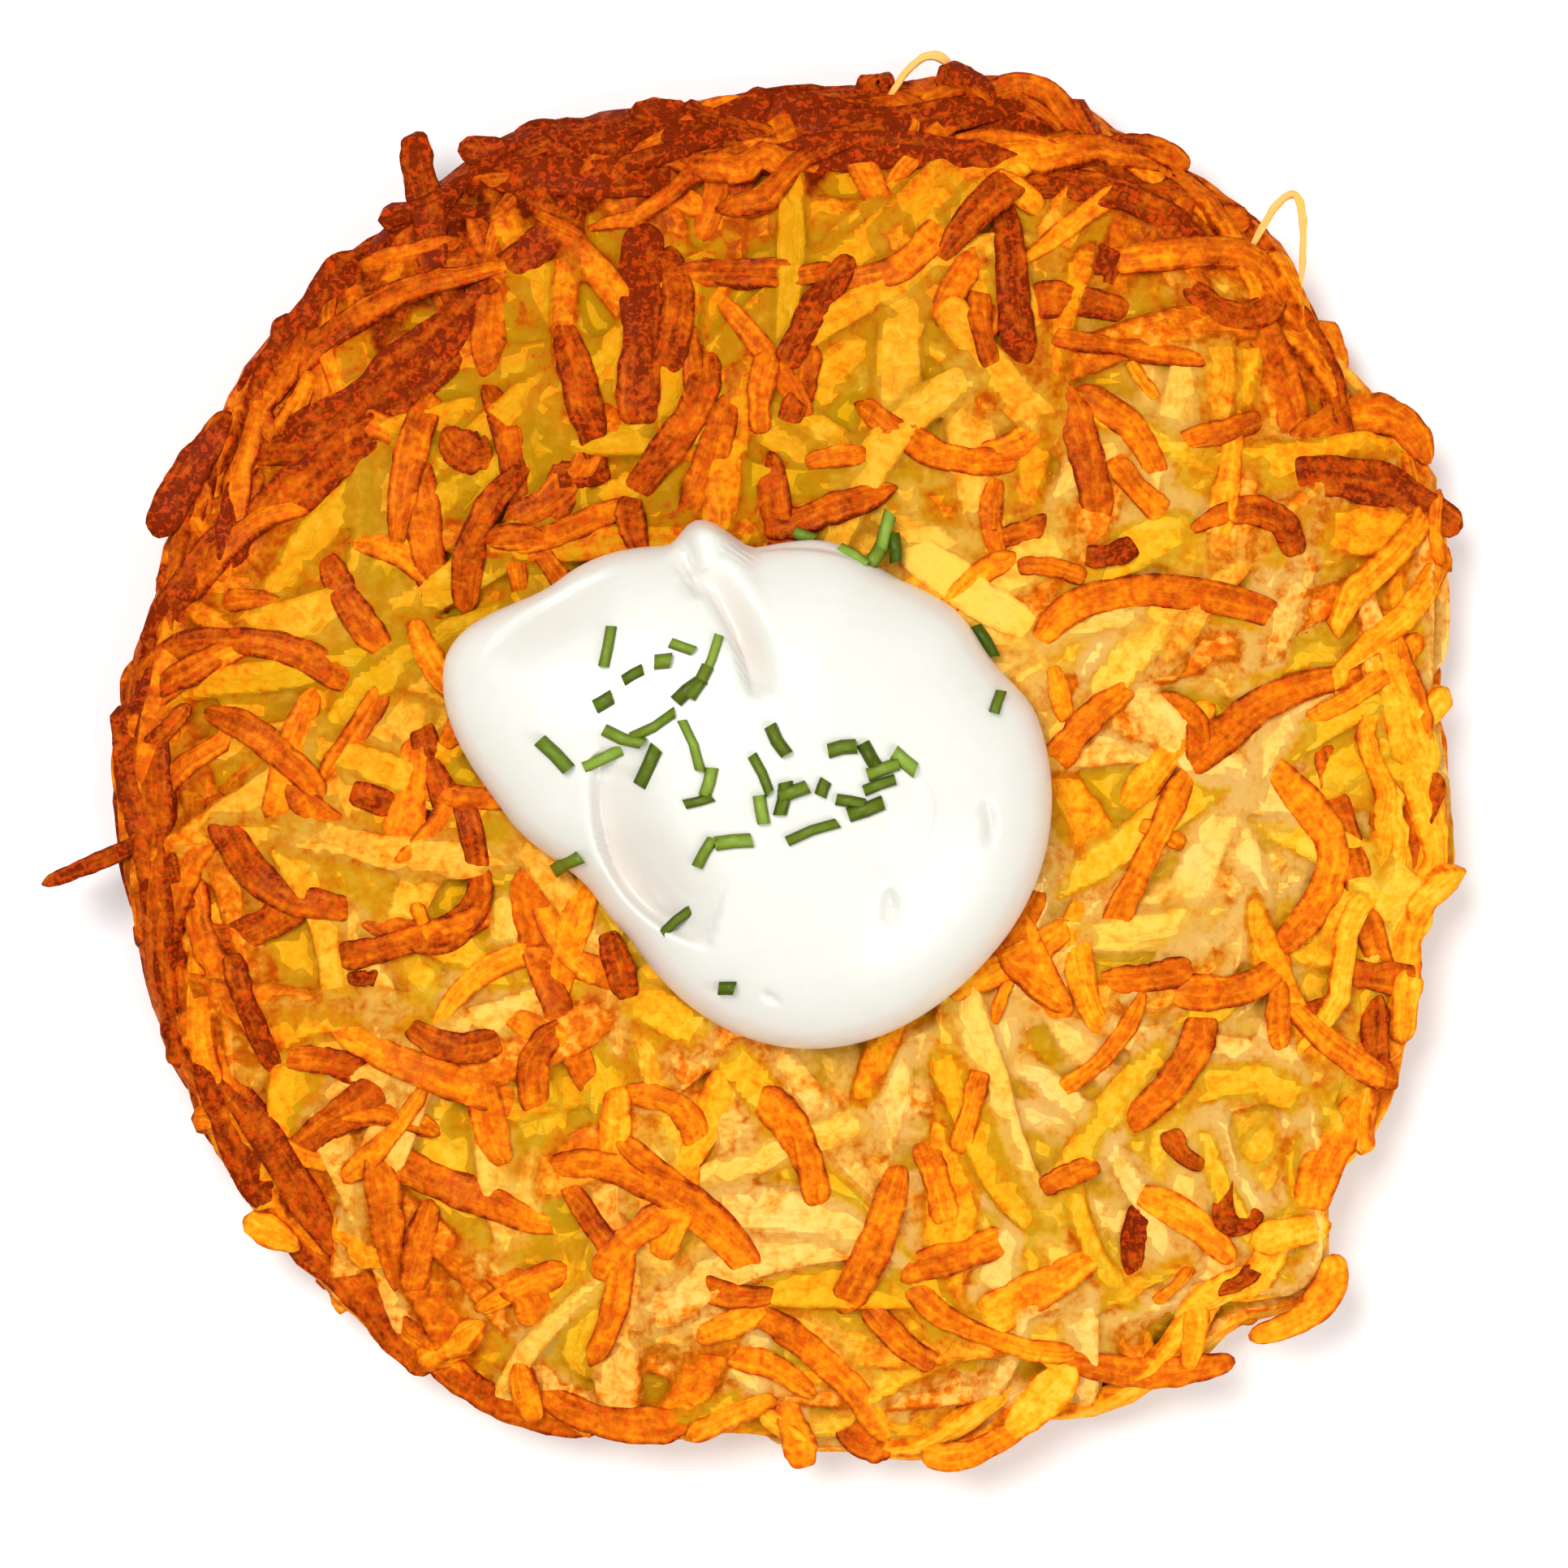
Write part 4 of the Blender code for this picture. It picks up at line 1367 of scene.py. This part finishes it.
class ROSTI_OT_sour_cream(bpy.types.Operator):
    """Shapes the dollop of sour cream with its spoon marks"""

    bl_idname = "rosti.sour_cream"
    bl_label = "Sour Cream"

    def execute(self, context):
        settings = context.scene.rosti_cream
        deselect_all()
        bpy.ops.mesh.primitive_uv_sphere_add(segments=CREAM_SEGMENTS, ring_count=CREAM_RINGS, radius=1)
        cream = bpy.context.object
        cream.name = "sour_cream_dollop"
        unit = coordinates(cream)
        level = np.clip(np.hypot(unit[:, 0], unit[:, 1]), 0, 1)
        angle = np.arctan2(unit[:, 1], unit[:, 0])
        share = level**CREAM_RING_POWER
        outline = cream_radius(angle)
        x = CREAM_CENTRE[0] + share * outline * np.cos(angle)
        y = CREAM_CENTRE[1] + share * outline * np.sin(angle)
        top = cream_height(x, y, settings.mark_depth)
        under = cake_surface(x, y) + CREAM_EDGE_LIFT - CREAM_UNDERSIDE * cream_plumpness(share)
        z = np.where(unit[:, 2] >= -1e-6, top, under)
        place(cream, np.column_stack([x, y, z]))
        # How far the marks lower the cream, which drives the painted shade in its colour.
        write_attribute(cream, "hollow", lowered_by_marks(x, y, 1.0))
        finish_piece(cream, cream_finish(settings), ["sour_cream"])
        return {"FINISHED"}


def chive_template(diameter, wall):
    """A short open tube along X, 1 long, with its wall, as a piece of a hollow leaf."""
    deselect_all()
    bpy.ops.mesh.primitive_circle_add(vertices=8, radius=1, fill_type="NOTHING", rotation=(0, math.pi / 2, 0))
    tube = bpy.context.object
    bpy.ops.object.transform_apply(location=True, rotation=True, scale=True)
    bpy.ops.object.mode_set(mode="EDIT")
    bpy.ops.mesh.select_all(action="SELECT")
    for _step in range(2):
        bpy.ops.mesh.extrude_region_move(TRANSFORM_OT_translate={"value": (0.5, 0, 0)})
    bpy.ops.mesh.select_all(action="SELECT")
    bpy.ops.mesh.normals_make_consistent(inside=False)
    bpy.ops.object.mode_set(mode="OBJECT")
    apply_modifier(tube, "SOLIDIFY", {"thickness": 2 * wall / diameter, "offset": -1})
    return tube


def cut_chive(pattern, laid, diameter, mark_depth, dice):
    """The points of the straight tube, cut to one chive's size and laid where that chive lies."""
    middle_x, middle_y, length, heading = laid
    turn = math.radians(heading)
    radius = diameter / 2 * dice.uniform(0.75, 1.12)
    squash = dice.uniform(0.75, 1.0)
    slant = dice.uniform(-0.5, 0.5) * np.where(pattern[:, 0] > 0.5, 1, 0.4)
    bow = dice.uniform(-0.06, 0.06) * length * MM
    along = (pattern[:, 0] - 0.5) * length * MM + slant * pattern[:, 1] * radius
    side = pattern[:, 1] * radius / math.sqrt(squash) + bow * (2 * pattern[:, 0] - 1) ** 2
    x = middle_x * MM + along * math.cos(turn) - side * math.sin(turn)
    y = middle_y * MM + along * math.sin(turn) + side * math.cos(turn)
    stations = np.array([-0.5, 0.0, 0.5]) * length * MM
    line_x = middle_x * MM + stations * math.cos(turn)
    line_y = middle_y * MM + stations * math.sin(turn)
    potato = cake_surface(line_x, line_y) + CHIVE_ON_POTATO
    first, middle, last = np.maximum(cream_height(line_x, line_y, mark_depth), potato)
    base = (first + last) / 2 * 0.5 + middle * 0.5
    slope = (last - first) / (length * MM)
    z = base + slope * along + pattern[:, 2] * radius * squash + radius * squash * CHIVE_PROUD
    return np.column_stack([x, y, z])


class ROSTI_OT_chives(bpy.types.Operator):
    """Strews the cut chives on the cream and beside it"""

    bl_idname = "rosti.chives"
    bl_label = "Chives"

    def execute(self, context):
        settings = context.scene.rosti_chive
        mark_depth = context.scene.rosti_cream.mark_depth
        dice = random.Random(CHIVE_SEED)
        tube = chive_template(settings.diameter, settings.wall)
        tube.name = "chives"
        pattern = coordinates(tube)
        apply_modifier(tube, "ARRAY", {"count": len(CHIVES_LAID), "use_relative_offset": False})
        blocks, tones = [], []
        for laid in CHIVES_LAID:
            blocks.append(cut_chive(pattern, laid, settings.diameter, mark_depth, dice))
            tones.append(dice.uniform(0, 1))
        place(tube, np.concatenate(blocks))
        write_attribute(tube, "tone", np.repeat(tones, len(pattern)))
        inside = np.hypot(pattern[:, 1], pattern[:, 2]) < 1 - settings.wall / settings.diameter
        write_attribute(tube, "inside", np.tile(inside.astype(float), len(CHIVES_LAID)))
        # How far out to the tube's sides, which drives the painted side shade.
        write_attribute(tube, "side", np.tile(np.abs(pattern[:, 1]), len(CHIVES_LAID)))
        finish_piece(tube, chive_finish(settings), [])
        return {"FINISHED"}


def area_lamp(name, place_at, size, power):
    """A round lamp that points at the middle of the cake's top."""
    data = bpy.data.lights.new(name, "AREA")
    data.shape = "DISK"
    data.size = size
    data.energy = power
    lamp = bpy.data.objects.new(name, data)
    bpy.context.scene.collection.objects.link(lamp)
    lamp.location = place_at
    lamp.rotation_euler = (Vector((0, 0, CAKE_TOP)) - Vector(place_at)).to_track_quat("-Z", "Y").to_euler()


class ROSTI_OT_studio(bpy.types.Operator):
    """Sets the pale floor, the soft lights and the camera"""

    bl_idname = "rosti.studio"
    bl_label = "Studio"

    def execute(self, context):
        settings = context.scene.rosti_studio
        scene = context.scene
        deselect_all()
        bpy.ops.mesh.primitive_plane_add(size=settings.floor_size)
        floor = context.object
        floor.name = "floor"
        floor.data.materials.append(floor_finish(settings))
        area_lamp("key", KEY_PLACE, KEY_SIZE, settings.key_power)
        area_lamp("fill", FILL_PLACE, FILL_SIZE, settings.fill_power)
        world = bpy.data.worlds.new("room")
        world.use_nodes = True
        background = world.node_tree.nodes["Background"]
        background.inputs["Color"].default_value = (1, 1, 1, 1)
        background.inputs["Strength"].default_value = settings.ambient
        scene.world = world
        scene.view_settings.view_transform = "Standard"
        data = bpy.data.cameras.new("camera")
        data.lens = settings.lens
        data.sensor_width = SENSOR_WIDTH
        camera = bpy.data.objects.new("camera", data)
        scene.collection.objects.link(camera)
        reach = settings.view_width * settings.lens / SENSOR_WIDTH
        back = Vector((0, -math.cos(settings.elevation), math.sin(settings.elevation)))
        camera.location = Vector(VIEW_MIDDLE) + back * reach
        camera.rotation_euler = (-back).to_track_quat("-Z", "Y").to_euler()
        data.clip_start = 0.01
        scene.camera = camera
        return {"FINISHED"}


class ROSTI_PT_panel(bpy.types.Panel):
    """Lists the pieces of the rosti"""

    bl_idname = "ROSTI_PT_panel"
    bl_label = "Potato Rosti"
    bl_space_type = "VIEW_3D"
    bl_region_type = "UI"
    bl_category = "Rosti"

    def draw(self, context):
        for operator in OPERATORS:
            self.layout.operator(operator.bl_idname)
        for name in SETTINGS:
            group = getattr(context.scene, name)
            box = self.layout.box()
            for key in group.bl_rna.properties.keys():
                if key not in ("rna_type", "name"):
                    box.prop(group, key)


OPERATORS = (
    ROSTI_OT_bed,
    ROSTI_OT_browned_shreds,
    ROSTI_OT_rim_shreds,
    ROSTI_OT_sour_cream,
    ROSTI_OT_chives,
    ROSTI_OT_studio,
)
SETTINGS = {
    "rosti_cake": RostiCakeSettings,
    "rosti_cream": RostiCreamSettings,
    "rosti_chive": RostiChiveSettings,
    "rosti_studio": RostiStudioSettings,
}


def register():
    for group in SETTINGS.values():
        bpy.utils.register_class(group)
    for operator in (*OPERATORS, ROSTI_PT_panel):
        bpy.utils.register_class(operator)
    for name, group in SETTINGS.items():
        setattr(bpy.types.Scene, name, bpy.props.PointerProperty(type=group))


def unregister():
    for name in SETTINGS:
        delattr(bpy.types.Scene, name)
    for operator in (ROSTI_PT_panel, *OPERATORS):
        bpy.utils.unregister_class(operator)
    for group in SETTINGS.values():
        bpy.utils.unregister_class(group)


def main():
    register()
    bpy.ops.rosti.bed()
    bpy.ops.rosti.browned_shreds()
    bpy.ops.rosti.rim_shreds()
    bpy.ops.rosti.sour_cream()
    bpy.ops.rosti.chives()
    bpy.ops.rosti.studio()


if __name__ == "__main__":
    main()
